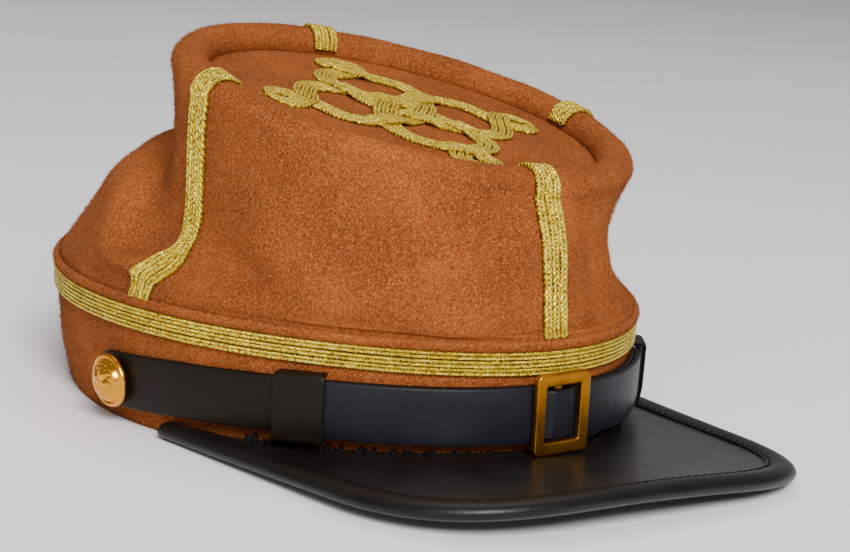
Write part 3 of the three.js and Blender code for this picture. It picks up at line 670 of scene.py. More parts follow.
def gold_material():
    """Gold soutache: metal thread laid in a chevron, with glints partly painted into its colour and painted
    shade in the grooves between its cords.
    """
    material, tree, shader = blank_material("gold_soutache")
    coords = node(tree, "ShaderNodeTexCoord")
    place = coords.outputs["Object"]
    parts = node(tree, "ShaderNodeSeparateXYZ", {0: coords.outputs["UV"]})
    along, across = parts.outputs[0], parts.outputs[1]
    fold = maths(tree, "ABSOLUTE", maths(tree, "SUBTRACT", maths(tree, "FRACT", across), 0.5))
    slant = maths(tree, "ADD", maths(tree, "MULTIPLY", along, 1 / 0.95), maths(tree, "MULTIPLY", fold, 2.2))
    thread = maths(tree, "SINE", maths(tree, "MULTIPLY", slant, 2 * math.pi))
    # Cells: each spot of thread gets a random painted glint in the colour, a smoother finish and a tilted
    # normal.
    cells = node(tree, "ShaderNodeTexVoronoi", {"Vector": place, "Scale": 1500}, feature="F1")
    chance = node(tree, "ShaderNodeSeparateXYZ", {0: cells.outputs["Color"]}).outputs[0]
    # Fine noise: painted glints in the colour and small bumps in the surface.
    glint = noise(tree, place, 1100, 2, 0.6)
    cloud = noise(tree, place, 160, 3)
    # Painted shade: darker in the grooves between the cords, a little lighter on their crests.
    groove_shade_mask = maths(tree, "ABSOLUTE", maths(tree, "SINE", maths(tree, "MULTIPLY", across, 2 * math.pi)))
    # Tone: a faint painted highlight on the raised chevron threads, painted glints from the noise and the
    # cells, and the painted groove shade.
    tone = maths(tree, "ADD", maths(tree, "MULTIPLY", thread, 0.1), maths(tree, "MULTIPLY", glint, 0.5))
    tone = maths(tree, "ADD", tone, maths(tree, "MULTIPLY", chance, 0.42))
    tone = maths(tree, "ADD", tone, maths(tree, "MULTIPLY", maths(tree, "SUBTRACT", groove_shade_mask, 0.8), 0.34))
    # The tone ramp runs from painted groove shade through dim gold and gold to painted glints.
    groove, dim_gold = (0.19, 0.095, 0.002), (0.60, 0.38, 0.008)
    gold, painted_glint = (0.92, 0.66, 0.022), (1.0, 0.9, 0.2)
    colour = ramp(tree, tone, [(0.16, groove), (0.34, dim_gold), (0.54, gold), (0.68, painted_glint)])
    dull = ramp(tree, cloud, [(0.3, (0.74, 0.72, 0.66)), (0.6, (1, 1, 1))])
    colour = mixed(tree, 0.7, colour, dull, "MULTIPLY")
    tree.links.new(colour, shader.inputs["Base Color"])
    rough = maths(tree, "MULTIPLY_ADD", chance, -0.32)
    rough.node.inputs[2].default_value = 0.58
    tree.links.new(rough, shader.inputs["Roughness"])
    shift = {0: cells.outputs["Color"], 1: (-0.5, -0.5, -0.5)}
    centred = node(tree, "ShaderNodeVectorMath", shift, operation="ADD")
    tipped = node(tree, "ShaderNodeVectorMath", {0: centred.outputs[0], "Scale": 0.6}, operation="SCALE")
    straight = node(tree, "ShaderNodeNewGeometry").outputs["Normal"]
    leaning = node(tree, "ShaderNodeVectorMath", {0: straight, 1: tipped.outputs[0]}, operation="ADD")
    facing = node(tree, "ShaderNodeVectorMath", {0: leaning.outputs[0]}, operation="NORMALIZE").outputs[0]
    height = maths(tree, "ADD", maths(tree, "MULTIPLY", thread, 0.5), glint)
    tree.links.new(bump(tree, height, 0.7, 0.0004, facing), shader.inputs["Normal"])
    shader.inputs["Metallic"].default_value = 0.62
    shader.inputs["Specular IOR Level"].default_value = 0.5
    return material


def leather_material(name, tint, rough, grain, gloss):
    """Black leather: fine grain, soft creases and slightly uneven polish."""
    material, tree, shader = blank_material(name)
    place = node(tree, "ShaderNodeTexCoord").outputs["Object"]
    cloud = noise(tree, place, 55, 4)
    fine = noise(tree, place, 900, 3, 0.6)
    pattern = node(tree, "ShaderNodeTexVoronoi", {"Vector": place, "Scale": 1400}, feature="DISTANCE_TO_EDGE")
    pores = pattern.outputs["Distance"]
    dark = tuple(0.6 * c for c in tint)
    colour = ramp(tree, cloud, [(0.3, dark), (0.7, tint)])
    tree.links.new(colour, shader.inputs["Base Color"])
    polish = maths(tree, "ADD", maths(tree, "MULTIPLY", cloud, 0.22), maths(tree, "MULTIPLY", fine, 0.12))
    polish = maths(tree, "ADD", polish, rough - 0.17)
    tree.links.new(polish, shader.inputs["Roughness"])
    height = maths(tree, "ADD", maths(tree, "MULTIPLY", pores, 1.6), maths(tree, "MULTIPLY", fine, 0.6))
    normal = bump(tree, height, grain, 0.00012)
    normal = bump(tree, cloud, 0.25, 0.0012, normal)
    tree.links.new(normal, shader.inputs["Normal"])
    shader.inputs["Specular IOR Level"].default_value = gloss
    shader.inputs["Coat Weight"].default_value = gloss / 3
    shader.inputs["Coat Roughness"].default_value = 0.28
    return material


def brass_material(name, colour, rough):
    """Brass with fine rubbing marks and a little tarnish."""
    material, tree, shader = blank_material(name)
    place = node(tree, "ShaderNodeTexCoord").outputs["Object"]
    cloud = noise(tree, place, 240, 4)
    rubbed = {"Vector": place, "Scale": (300, 300, 2600)}
    stretched = node(tree, "ShaderNodeMapping", rubbed).outputs["Vector"]
    marks = noise(tree, stretched, 1.0, 3)
    dark = tuple(0.66 * c for c in colour)
    tone = ramp(tree, cloud, [(0.25, dark), (0.6, colour)])
    tree.links.new(tone, shader.inputs["Base Color"])
    polish = maths(tree, "ADD", maths(tree, "MULTIPLY", marks, 0.12), maths(tree, "MULTIPLY", cloud, 0.12))
    polish = maths(tree, "ADD", polish, rough - 0.12)
    tree.links.new(polish, shader.inputs["Roughness"])
    tree.links.new(bump(tree, marks, 0.12, 0.00008), shader.inputs["Normal"])
    shader.inputs["Metallic"].default_value = 1.0
    return material


def thread_material(name, colour):
    """Sewing thread with a fine twist."""
    material, tree, shader = blank_material(name)
    place = node(tree, "ShaderNodeTexCoord").outputs["Object"]
    tint = noise(tree, place, 700, 3)
    dark = tuple(0.5 * c for c in colour)
    tree.links.new(ramp(tree, tint, [(0.3, dark), (0.7, colour)]), shader.inputs["Base Color"])
    strand = {"Vector": place, "Scale": 900, "Distortion": 2.0}
    twist = node(tree, "ShaderNodeTexWave", strand, bands_direction="DIAGONAL").outputs["Fac"]
    tree.links.new(bump(tree, twist, 0.5, 0.0002), shader.inputs["Normal"])
    shader.inputs["Roughness"].default_value = 0.75
    shader.inputs["Specular IOR Level"].default_value = 0.15
    return material


MAKERS = {
    "wool_crown": lambda: wool_material("wool_crown", 0.9),
    "wool_band": lambda: wool_material("wool_band", 0.9),
    "wool_tip": lambda: wool_material("wool_tip", 0.9),
    "wool_fibre": fibre_material,
    "gold_soutache": gold_material,
    "leather_visor": lambda: leather_material("leather_visor", (0.0085, 0.0075, 0.0075), 0.32, 0.16, 0.5),
    "leather_binding": lambda: leather_material("leather_binding", (0.007, 0.006, 0.0065), 0.38, 0.4, 0.2),
    # The strap's slightly blue tint is a painted bluish sheen on the black leather.
    "leather_strap": lambda: leather_material("leather_strap", (0.0085, 0.0093, 0.014), 0.46, 0.3, 0.18),
    "leather_under": lambda: leather_material("leather_under", (0.010, 0.0058, 0.003), 0.46, 0.3, 0.14),
    "brass_buckle": lambda: brass_material("brass_buckle", (0.50, 0.20, 0.013), 0.36),
    "brass_button": lambda: brass_material("brass_button", (0.92, 0.40, 0.035), 0.2),
    "black_thread": lambda: thread_material("black_thread", (0.006, 0.0055, 0.006)),
    "wool_thread": lambda: thread_material("wool_thread", (0.33, 0.085, 0.028)),
}


def finish_of(name):
    """A material by name, made the first time it is asked for."""
    return bpy.data.materials.get(name) or MAKERS[name]()


def add_nap(name, roots, normals, cloth, share, lie, seed):
    """Covers places on a cloth with loose fibres that lie over by `lie`."""
    bm = fuzz(roots, normals, share * cloth.nap / MM, cloth.fibre / MM, lie, seed)
    add_piece(name, bm, finish_of("wool_fibre"), [])


# ---------- Settings ----------


class KepiClothSettings(PropertyGroup):
    around: IntProperty(name="Around", description="Facets of the cloth round the head", default=288)
    nap: FloatProperty(
        name="Nap", description="Length of the loose wool fibres",
        default=0.0016, unit="LENGTH",
    )
    fibre: FloatProperty(name="Fibre", description="Width of one wool fibre", default=0.00011, unit="LENGTH")
    crown_fibres: IntProperty(name="Crown fibres", description="Loose fibres on the crown", default=38000)
    band_fibres: IntProperty(name="Band fibres", description="Loose fibres on the band", default=16000)
    tip_fibres: IntProperty(name="Tip fibres", description="Loose fibres on the top", default=9000)


class KepiBraidSettings(PropertyGroup):
    row_width: FloatProperty(
        name="Row width", description="Width of a row on the crown",
        default=0.0029, unit="LENGTH",
    )
    band_width: FloatProperty(
        name="Band row width", description="Width of a row on the band",
        default=0.0023, unit="LENGTH",
    )
    wander: FloatProperty(
        name="Wander", description="Unevenness of the sewing",
        default=0.00012, unit="LENGTH",
    )


class KepiLeatherSettings(PropertyGroup):
    stitch: FloatProperty(
        name="Stitch", description="Distance between the binding's stitches",
        default=0.0031, unit="LENGTH",
    )
    whip: IntProperty(
        name="Whip stitches", description="Stitches that sew the visor to the band",
        default=108,
    )


class KepiMetalSettings(PropertyGroup):
    relief: FloatProperty(
        name="Relief", description="Height of the buttons' rosette",
        default=0.0005, unit="LENGTH",
    )


class KepiStageSettings(PropertyGroup):
    key: FloatProperty(name="Key light", description="Power of the main light in watts", default=92)
    fill: FloatProperty(name="Fill light", description="Power of the fill light in watts", default=5)
    top: FloatProperty(name="Top light", description="Power of the overhead light in watts", default=11)


# ---------- Pieces ----------


class KEPI_OT_crown(Operator):
    """Builds the crown's cloth with its padded rim, and its nap"""

    bl_idname = "kepi.crown"
    bl_label = "Crown"

    def execute(self, context):
        cloth = context.scene.kepi_cloth
        azimuth = np.linspace(-180, 180, cloth.around + 1)[:, None]
        level = np.concatenate([np.linspace(0, 1, 64), np.linspace(1, 2, 22)[1:]])[None, :]
        face = crown_skin(azimuth, level)[0]
        hem_out = band_point(azimuth, BAND["top"], 0.0)
        hem_low, hem_in = hem_out.copy(), band_point(azimuth, BAND["top"], -1.4)
        hem_low[..., 2], hem_in[..., 2] = CROWN["seam"] - 0.5, CROWN["seam"] - 0.3
        hem_low[..., :2] = band_point(azimuth, BAND["top"], -0.7)[..., :2]
        places = np.concatenate([hem_in, hem_low, face], axis=1)
        bm = skin(places, ring=True, uv=(520, 112))
        face_out(bm, Vector(CENTRE - UP * 20))
        add_piece("crown", bm, finish_of("wool_crown"), ["crown_side"], thickness=CROWN["cloth"])

        dice = np.random.default_rng(21)
        count = cloth.crown_fibres
        turn = dice.uniform(-180, 180, 3 * count)
        high = dice.uniform(0.005, 1.9, 3 * count)
        place, normal, around, rise = crown_skin(turn, high)
        area = np.linalg.norm(np.cross(around, rise), axis=1)
        kept = dice.uniform(0, np.percentile(area, 99), 3 * count) < area
        place, normal = place[kept][:count], normal[kept][:count]
        add_nap("crown_nap", place, normal, cloth, NAP["crown"], 3.0, 22)
        return {"FINISHED"}


class KEPI_OT_top(Operator):
    """Builds the flat cloth top, sunk inside the rim"""

    bl_idname = "kepi.top"
    bl_label = "Top"

    def execute(self, context):
        cloth = context.scene.kepi_cloth
        inner = RIM["roll"] - TIP["tucked"]
        turn = np.radians(np.linspace(0, 360, 161))[:, None]
        share = np.linspace(0.002, 1, 30)[None, :]

        def disc(turn, share):
            wide = (RIM["radius"] - inner) * share * np.cos(turn)
            deep = (RIM["radius"] * RIM["oval"] - inner) * share * np.sin(turn)
            sag = -TIP["below"] - TIP["dip"] * smooth((share - 1) / TIP["dip_width"] + 1)
            sag = sag + TIP["wave"] * np.sin(wide / 9 + 1) * np.cos(deep / 12) * (1 - share**4)
            return CENTRE + ACROSS * wide[..., None] + BACK * deep[..., None] + UP * sag[..., None]

        places = disc(turn, share)
        bm = skin(places, ring=True, uv=(380, 62))
        near = lambda edge: (edge.verts[0].co - Vector(CENTRE)).length < 5
        hole = [edge for edge in bm.edges if edge.is_boundary and near(edge)]
        bmesh.ops.holes_fill(bm, edges=hole, sides=0)
        layer = bm.loops.layers.uv.verify()
        for face in bm.faces:
            for loop in face.loops:
                flat = np.array(loop.vert.co) - CENTRE
                loop[layer].uv = (flat @ ACROSS, flat @ BACK)
        face_out(bm, Vector(CENTRE - UP * 50))
        thickness = TIP["thickness"] - 0.5
        add_piece("crown_top", bm, finish_of("wool_tip"), ["crown_tip"], thickness=thickness)

        dice = np.random.default_rng(31)
        count = cloth.tip_fibres
        roots = disc(dice.uniform(0, 2 * math.pi, count), np.sqrt(dice.uniform(0, 0.98, count)))
        normals = np.broadcast_to(UP, roots.shape)
        add_nap("top_nap", roots, normals, cloth, NAP["top"], 3.4, 32)
        return {"FINISHED"}


class KEPI_OT_band(Operator):
    """Builds the head band, the welt above it and their nap"""

    bl_idname = "kepi.band"
    bl_label = "Band"

    def execute(self, context):
        cloth = context.scene.kepi_cloth
        azimuth = np.linspace(-180, 180, cloth.around + 1)[:, None]
        height = np.linspace(0, BAND["top"], 26)[None, :]
        slack = unevenness(cloth.around + 1, 0.5, 5)[:, None]
        ease = slack * (1 - height / BAND["top"])
        bm = skin(band_point(azimuth, height + 0 * ease, ease), ring=True, uv=(600, 38))
        face_out(bm, Vector((0, 0, 18)))
        add_piece("head_band", bm, finish_of("wool_band"), ["band"], thickness=BAND["wall"])

        angle = np.radians(np.linspace(0, 360, 15))[None, :]
        lump = 1 + unevenness(cloth.around + 1, 0.05, 6)[:, None]
        out = WELT["out"] + WELT["half_out"] * lump * np.cos(angle)
        high = WELT["middle"] + WELT["half_up"] * lump * np.sin(angle)
        welt = band_point(azimuth, BAND["top"] + 0 * out, out)
        welt[..., 2] = high
        bm = skin(welt, ring=True, tube=True, uv=(600, 9))
        add_piece("welt", bm, finish_of("wool_band"), ["seam_piping"])

        bm = bmesh.new()
        for place in np.arange(-180, 180, WELT["stitch"]):
            ends = band_point(np.array((place, place + 0.66 * WELT["stitch"])), BAND["top"], 0.25)
            ends[:, 2] = CROWN["seam"] - 0.05
            bead(ends[0], ends[1], 0.55, bm)
        add_piece("welt_stitches", bm, finish_of("wool_thread"), [])

        dice = np.random.default_rng(41)
        count = cloth.band_fibres
        turn = dice.uniform(-180, 180, count)
        on_welt = dice.uniform(size=count) < NAP["on_welt"]
        below_braid = dice.uniform(0.2, BAND_BRAID["bottom"] - 0.3, count)
        high = np.where(on_welt, WELT["middle"] - 0.35, below_braid)
        lift = np.where(on_welt, NAP["welt_lift"], 0.0)
        roots = band_point(turn, np.minimum(high, BAND["top"]), lift)
        roots[:, 2] = high + np.where(on_welt, dice.uniform(-0.4, 1.0, count), 0)
        normals = unit(roots * np.array((BAND["half_width"] ** -2, BAND["half_length"] ** -2, 0)))
        add_nap("band_nap", roots, normals, cloth, NAP["band"], 3.2, 42)
        return {"FINISHED"}


class KEPI_OT_braids(Operator):
    """Sews the rows of gold soutache round the band and over the crown's seams"""

    bl_idname = "kepi.braids"
    bl_label = "Braids"

    def execute(self, context):
        braid = context.scene.kepi_braid
        wander = braid.wander / MM
        across, up = braid_section(braid.band_width / MM, BRAID["thickness"])
        azimuth = np.linspace(-180, 180, 361)[:, None]
        for row in range(BRAID["rows"]):
            middle = BAND_BRAID["bottom"] + (row + 0.5) * BAND_BRAID["pitch"]
            shift = unevenness(361, wander, 50 + row)[:, None]
            height = middle + shift + across[None, :]
            places = band_point(azimuth, height, BRAID["lift"] + up[None, :] + 0 * height)
            bm = skin(places, ring=True, tube=True, uv=(620, 15 / 12))
            node_name = f"band_braid_{row + 1}"
            add_piece(f"band_soutache_{row + 1}", bm, finish_of("gold_soutache"), [node_name])

        across, up = braid_section(braid.row_width / MM, BRAID["thickness"])
        level = np.concatenate([np.linspace(0.0, 1, 56), np.linspace(1, 1.9, 22)[1:]])
        for name, route in CROWN_BRAIDS.items():
            course = lambda at: look_up(route, "level", "azimuth", np.clip(at, 0, 1))
            eased = (course(level - 0.05) + course(level) + course(level + 0.05)) / 3
            turning = np.gradient(eased, level)
            _, _, around, rise = crown_frame(eased, level)
            along = unit(rise + around * turning[:, None])
            room = np.linalg.norm(np.cross(around, along), axis=1)[:, None]
            steps = np.linalg.norm(np.diff(crown_point(eased, level), axis=0), axis=1).sum()
            for row in range(BRAID["rows"]):
                aside = (row - (BRAID["rows"] - 1) / 2) * BRAID["pitch"]
                reach = aside + unevenness(len(level), 3 * wander, 60 + row)[:, None] + across[None, :]
                lifted = BRAID["lift"] + up[None, :] + 0 * reach
                places = crown_skin(eased[:, None] + reach / room, level[:, None], lifted)[0]
                bm = skin(places, tube=True, caps=True, uv=(steps, 15 / 12))
                node_name = f"{name}_braid_{row + 1}"
                finish = finish_of("gold_soutache")
                add_piece(f"{name}_soutache_{row + 1}", bm, finish, [node_name])
        return {"FINISHED"}


def knot_line(count):
    """Evenly spaced points along one quarter of the knot, from a spline through its table."""
    place = np.array([(row["across"], row["back"]) for row in KNOT_QUARTER], float)
    padded = np.concatenate([[2 * place[0] - place[1]], place, [2 * place[-1] - place[-2]]])
    line = []
    for k in range(1, len(padded) - 2):
        a, b, c, d = padded[k - 1 : k + 3]
        t = np.linspace(0, 1, 12, endpoint=False)[:, None]
        bend, twist = 2 * a - 5 * b + 4 * c - d, 3 * b - a - 3 * c + d
        line.append(0.5 * (2 * b + (c - a) * t + bend * t**2 + twist * t**3))
    line.append(padded[-2:-1])
    return resample(np.concatenate(line), count)


def turned(line, quarters):
    for _ in range(quarters % 4):
        line = np.stack([-line[:, 1], line[:, 0]], axis=1)
    return line


def knot_crossings(line, at):
    """Where the quarter crosses itself or another quarter, as lengths along it."""

    def side(p, q, r):
        ahead, beyond = q - p, r - p
        return ahead[..., 0] * beyond[..., 1] - ahead[..., 1] * beyond[..., 0]

    found = []
    for quarters in range(4):
        other = turned(line, quarters)
        a, b = line[:-1, None], line[1:, None]
        c, d = other[None, :-1], other[None, 1:]
        hits = (side(a, b, c) * side(a, b, d) < 0) & (side(c, d, a) * side(c, d, b) < 0)
        rows, columns = np.nonzero(hits)
        found += [at[i] for i, j in zip(rows, columns) if quarters or abs(i - j) > 4]
    return sorted(found)


class KEPI_OT_knot(Operator):
    """Lays the knot on the top: three rows of soutache that pass over and under"""

    bl_idname = "kepi.knot"
    bl_label = "Knot"

    def execute(self, context):
        braid = context.scene.kepi_braid
        line, along, at = knot_line(190)
        aside = np.stack([-along[:, 1], along[:, 0]], axis=1)
        over = np.zeros(len(at))
        for k, crossing in enumerate(knot_crossings(line, at)):
            if k % 2 == 0:
                near = 1 - smooth((np.abs(at - crossing) - KNOT["over"]) / KNOT["ease"])
                over = np.maximum(over, near)
        across, up = braid_section(KNOT["pitch"] - 0.05, BRAID["thickness"] * 0.75)
        spread = smooth(np.minimum(at, at[-1] - at) / KNOT["gather"])[:, None]
        turn = math.radians(KNOT["turn"])
        meshes = []
        for quarters in range(4):
            for row in (-1, 0, 1):
                middle = row * KNOT["pitch"] * (0.25 + 0.75 * spread)
                reach = middle + across[None, :] * (0.65 + 0.35 * spread)
                flat = line[:, None] + aside[:, None] * reach[..., None]
                x, y = turned(flat.reshape(-1, 2), quarters).T.reshape(2, *flat.shape[:2])
                x, y = x * math.cos(turn) - y * math.sin(turn), x * math.sin(turn) + y * math.cos(turn)
                high = -TIP["below"] + 0.1 + up[None, :] + KNOT["lift"] * over[:, None]
                high = high + (0.06 - 0.03 * spread) * row
                places = CENTRE + ACROSS * x[..., None] + BACK * y[..., None] + UP * high[..., None]
                meshes.append(skin(places, tube=True, caps=True, uv=(at[-1], 15 / 12)))
        add_piece("knot", joined(meshes), finish_of("gold_soutache"), ["crown_knot"])
        return {"FINISHED"}


class KEPI_OT_visor(Operator):
    """Builds the leather visor, its rolled binding and their stitches"""

    bl_idname = "kepi.visor"
    bl_label = "Visor"

    def execute(self, context):
        leather = context.scene.kepi_leather
        rim, inward, root, at = visor_outline(181)
        share = np.linspace(0, 1, 20)
        edge = rim + inward * BINDING["radius"]
        flat = root[:, None] + (edge - root)[:, None] * share[None, :, None]
        height = visor_height(flat[..., 0], flat[..., 1]) + VISOR["thickness"] / 2
        bm = skin(points(flat[..., 0], flat[..., 1], height), uv=(at[-1], 50))
        face_out(bm, Vector((0, -80, -200)))
        finish = finish_of("leather_visor")
        add_piece("visor_leather", bm, finish, ["visor"], thickness=VISOR["thickness"])

        half = [(row["inwards"], row["lift"]) for row in BINDING_PROFILE]
        section = half + [(inwards, -lift) for inwards, lift in half[::-1]] + half[:1]
        room = 0.8 * np.linalg.norm(rim - root, axis=1)[:, None]
        inwards = np.minimum(np.array([p[0] for p in section])[None, :], room)
        lift = np.array([p[1] for p in section])[None, :] * (1 + unevenness(181, 0.05, 71)[:, None])
        flat = rim[:, None] + inward[:, None] * inwards[..., None]
        height = visor_height(flat[..., 0], flat[..., 1]) + lift
        bm = skin(points(flat[..., 0], flat[..., 1], height), tube=True, caps=True, uv=(at[-1], 24))
        add_piece("visor_roll", bm, finish_of("leather_binding"), ["visor_binding"])

        bm = bmesh.new()
        rim, inward, root, at = visor_outline(int(at[-1] / (leather.stitch / MM)) + 1)
        for k in range(5, len(at) - 6):
            first, second = rim[k : k + 2] + inward[k : k + 2] * STITCH["inwards"]
            start = first + (second - first) * STITCH["from"]
            end = first + (second - first) * STITCH["to"]
            high = visor_height(start[0], start[1]) + STITCH["lift"]
            bead((*start, high), (*end, high), STITCH["width"], bm)
        add_piece("binding_stitches", bm, finish_of("black_thread"), [])

        meshes = []
        dice = np.random.default_rng(73)
        azimuths = np.linspace(WHIP["first"], WHIP["last"], leather.whip)
        azimuths = azimuths + dice.uniform(-0.35, 0.35, leather.whip)
        for azimuth in azimuths:
            top = band_point(azimuth + dice.uniform(-0.8, 0.8), WHIP["top"] + dice.uniform(-0.9, 0.9), 0.25)
            reach = azimuth + dice.uniform(-0.9, 0.9), WHIP["foot"], WHIP["reach"] + dice.uniform(-0.5, 0.7)
            far = band_point(*reach)
            far[2] = visor_height(far[0], far[1]) + WHIP["over"]
            knee = (top + far) / 2 + unit(far * np.array((1, 1, 0))) * 0.4 + np.array((0, 0, 0.9))
            path, _, _ = resample(bezier(top, knee, far, 12), 9)
            ahead = unit(np.gradient(path, axis=0))
            sideways = unit(np.cross(ahead, np.array((0, 0, 1.0))))
            upward = np.cross(sideways, ahead)
            angle = np.radians(np.linspace(0, 360, 9))[None, :, None]
            swell = np.sin(np.linspace(0.35, math.pi - 0.35, 9)) ** 0.4
            girth = (WHIP["girth"] + dice.uniform(-0.12, 0.14)) * swell
            ring = sideways[:, None] * np.cos(angle) + upward[:, None] * np.sin(angle)
            meshes.append(skin(path[:, None] + ring * girth[:, None, None], tube=True, caps=True, uv=(6, 3)))
        add_piece("whip_stitches", joined(meshes), finish_of("black_thread"), [])
        return {"FINISHED"}


def strip(azimuth, under, half, thickness):
    """A strap's rounded section swept round the band."""
    left = [(-1, row["rise"], row["trim"]) for row in STRAP_EDGE]
    right = [(1, rise, trim) for _, rise, trim in left[::-1]]
    face = [(aside, 1, 0) for aside in (-0.5, 0, 0.5)]
    aside, rise, trim = np.array([*left, *face, *right, (0, 0, 0), left[0]]).T
    across = aside[None, :] * half[:, None] - np.sign(aside)[None, :] * trim[None, :]
    crown = 0.12 * (1 - aside**2)
    lift = under[:, None] + thickness * rise[None, :] + (crown * (rise > 0.9))[None, :]
    return strap_point(azimuth[:, None], across, lift)


class KEPI_OT_strap(Operator):
    """Builds the chin strap's two layers and its keepers"""

    bl_idname = "kepi.strap"
    bl_label = "Chin strap"

    def execute(self, context):
        finish, under_finish = finish_of("leather_strap"), finish_of("leather_under")
        reach = BUTTON["from_front"] + STRAP["end"] / per_degree(FRONT - BUTTON["from_front"])
        share = np.linspace(-1, 1, 181)
        spread = np.sign(share) * (1 - (1 - np.abs(share)) ** 1.25)
        azimuth = FRONT + reach * spread
        to_end = (reach - np.abs(azimuth - FRONT)) * per_degree(azimuth)
        inside = np.minimum(to_end, STRAP["corner"]) / STRAP["corner"]
        half = STRAP["half_width"] - STRAP["corner"] * (1 - np.sqrt(np.clip(1 - (1 - inside) ** 2, 0, 1)))
        places = strip(azimuth, np.full_like(azimuth, STRAP["lift"]), half, STRAP["thickness"])
        bm = skin(places, tube=True, caps=True, uv=(230, 36))
        add_piece("strap_under", bm, under_finish, ["chin_strap_inner"])

        azimuth = np.linspace(FRONT - KEEPER["from_front"], FRONT + KEEPER["from_front"], 241)
        aside = np.abs((azimuth - FRONT) * per_degree(FRONT) - BUCKLE["aside"])
        low, high = BUCKLE["bar"] * 0.8, BUCKLE["window_width"] / 2 - 0.7
        hump = 1 - smooth((aside - low) / (high - low))
        lying = STRAP["lift"] + STRAP["thickness"] + GAP
        rise = (STRAP["thickness"] + GAP) * hump
        half = STRAP["half_width"] - np.minimum(BUCKLE["pinch"], 4 * rise)
        slack = unevenness(241, 0.12, 81) * (1 - hump)
        places = strip(azimuth, lying + rise + np.abs(slack), half, STRAP["thickness"])
        bm = skin(places, tube=True, caps=True, uv=(130, 36))
        add_piece("strap_over", bm, finish, ["chin_strap_outer"])

        for name, side in (("right", -1), ("left", 1)):
            middle = FRONT + side * KEEPER["from_front"]
            wide = KEEPER["width"] / per_degree(middle) / 2
            across = np.array((-1, -0.985, -0.93, -0.8, -0.4, 0, 0.4, 0.8, 0.93, 0.985, 1))
            drop = np.array((0.45, 0.15, 0.02, 0, 0, 0, 0, 0, 0.02, 0.15, 0.45))
            azimuth = middle + wide * across
            wall, corner = KEEPER["slack"] + KEEPER["leather"], KEEPER["corner"]
            out = STRAP["lift"] + 2 * STRAP["thickness"] + 2 * GAP + wall
            half = STRAP["half_width"] + GAP + wall
            bend = np.radians(np.linspace(0, 90, 7))
            rise = np.concatenate([[0.1, 1.2], out - corner + corner * np.sin(bend)])
            aside = np.concatenate([[half, half], half - corner + corner * np.cos(bend)])
            flat = np.linspace(half - corner - 1, -(half - corner - 1), 9)
            rise = np.concatenate([rise, np.full(len(flat), out), rise[::-1]])
            aside = np.concatenate([aside, flat, -aside[::-1]])
            above = -aside[None, :] * (1 - drop[:, None] / 10)
            lift = rise[None, :] - drop[:, None] * np.minimum(rise, 1)[None, :]
            bm = skin(strap_point(azimuth[:, None], above, lift), uv=(KEEPER["width"], 26))
            face_out(bm, Vector((0, 0, 18)))
            thickness, covers = KEEPER["leather"] - 0.1, [f"strap_keeper_{name}"]
            add_piece(f"keeper_{name}", bm, under_finish, covers, thickness=thickness)
        return {"FINISHED"}


def rounded_frame(width, height, radius, count):
    """Points round a rectangle with rounded corners, `count` to a corner."""
    line = []
    for k, (x, y) in enumerate(((1, -1), (1, 1), (-1, 1), (-1, -1))):
        centre = (x * (width / 2 - radius), y * (height / 2 - radius))
        for angle in np.radians(np.linspace(-90 + 90 * k, 90 * k, count)):
            line.append((centre[0] + radius * math.cos(angle), centre[1] + radius * math.sin(angle)))
        nx, ny = ((1, 1), (-1, 1), (-1, -1), (1, -1))[k]
        following = (nx * (width / 2 - radius), ny * (height / 2 - radius))
        last, heading = line[-1], math.radians(90 * k)
        after = (following[0] + radius * math.cos(heading), following[1] + radius * math.sin(heading))
        for share in (0.25, 0.5, 0.75):
            line.append((last[0] + (after[0] - last[0]) * share, last[1] + (after[1] - last[1]) * share))
    line.append(line[0])
    return np.array(line)


def buckle_place():
    layers = STRAP["lift"] + 2 * STRAP["thickness"] + 2 * GAP
    spot = strap_point(FRONT, 0, layers + 0.3)
    move = Matrix.Translation(Vector(spot) + Vector((BUCKLE["aside"], 0, BUCKLE["above"])))
    turn = (
        Matrix.Rotation(math.radians(90 + BUCKLE["tilt"]), 4, "X")
        @ Matrix.Rotation(math.radians(BUCKLE["yaw"]), 4, "Y")
        @ Matrix.Rotation(math.radians(BUCKLE["turn"]), 4, "Z")
    )
    return move @ turn


def button_place(side):
    """Where a button stands: its own Z points out of the band."""
    azimuth = FRONT + side * BUTTON["from_front"]
    height = float(strap_height(azimuth))
    along = (Vector(band_point(azimuth + 1, height)) - Vector(band_point(azimuth - 1, height))).normalized()
    rise = (Vector(strap_point(azimuth, 5)) - Vector(strap_point(azimuth, -5))).normalized()
    out = along.cross(rise).normalized()
    upright = out.cross(along).normalized()
    turn = Matrix((along, upright, out)).transposed().to_4x4()
    spot = strap_point(azimuth, 0, STRAP["lift"] + STRAP["thickness"] + BUTTON["lift"])
    return Matrix.Translation(Vector(spot)) @ turn


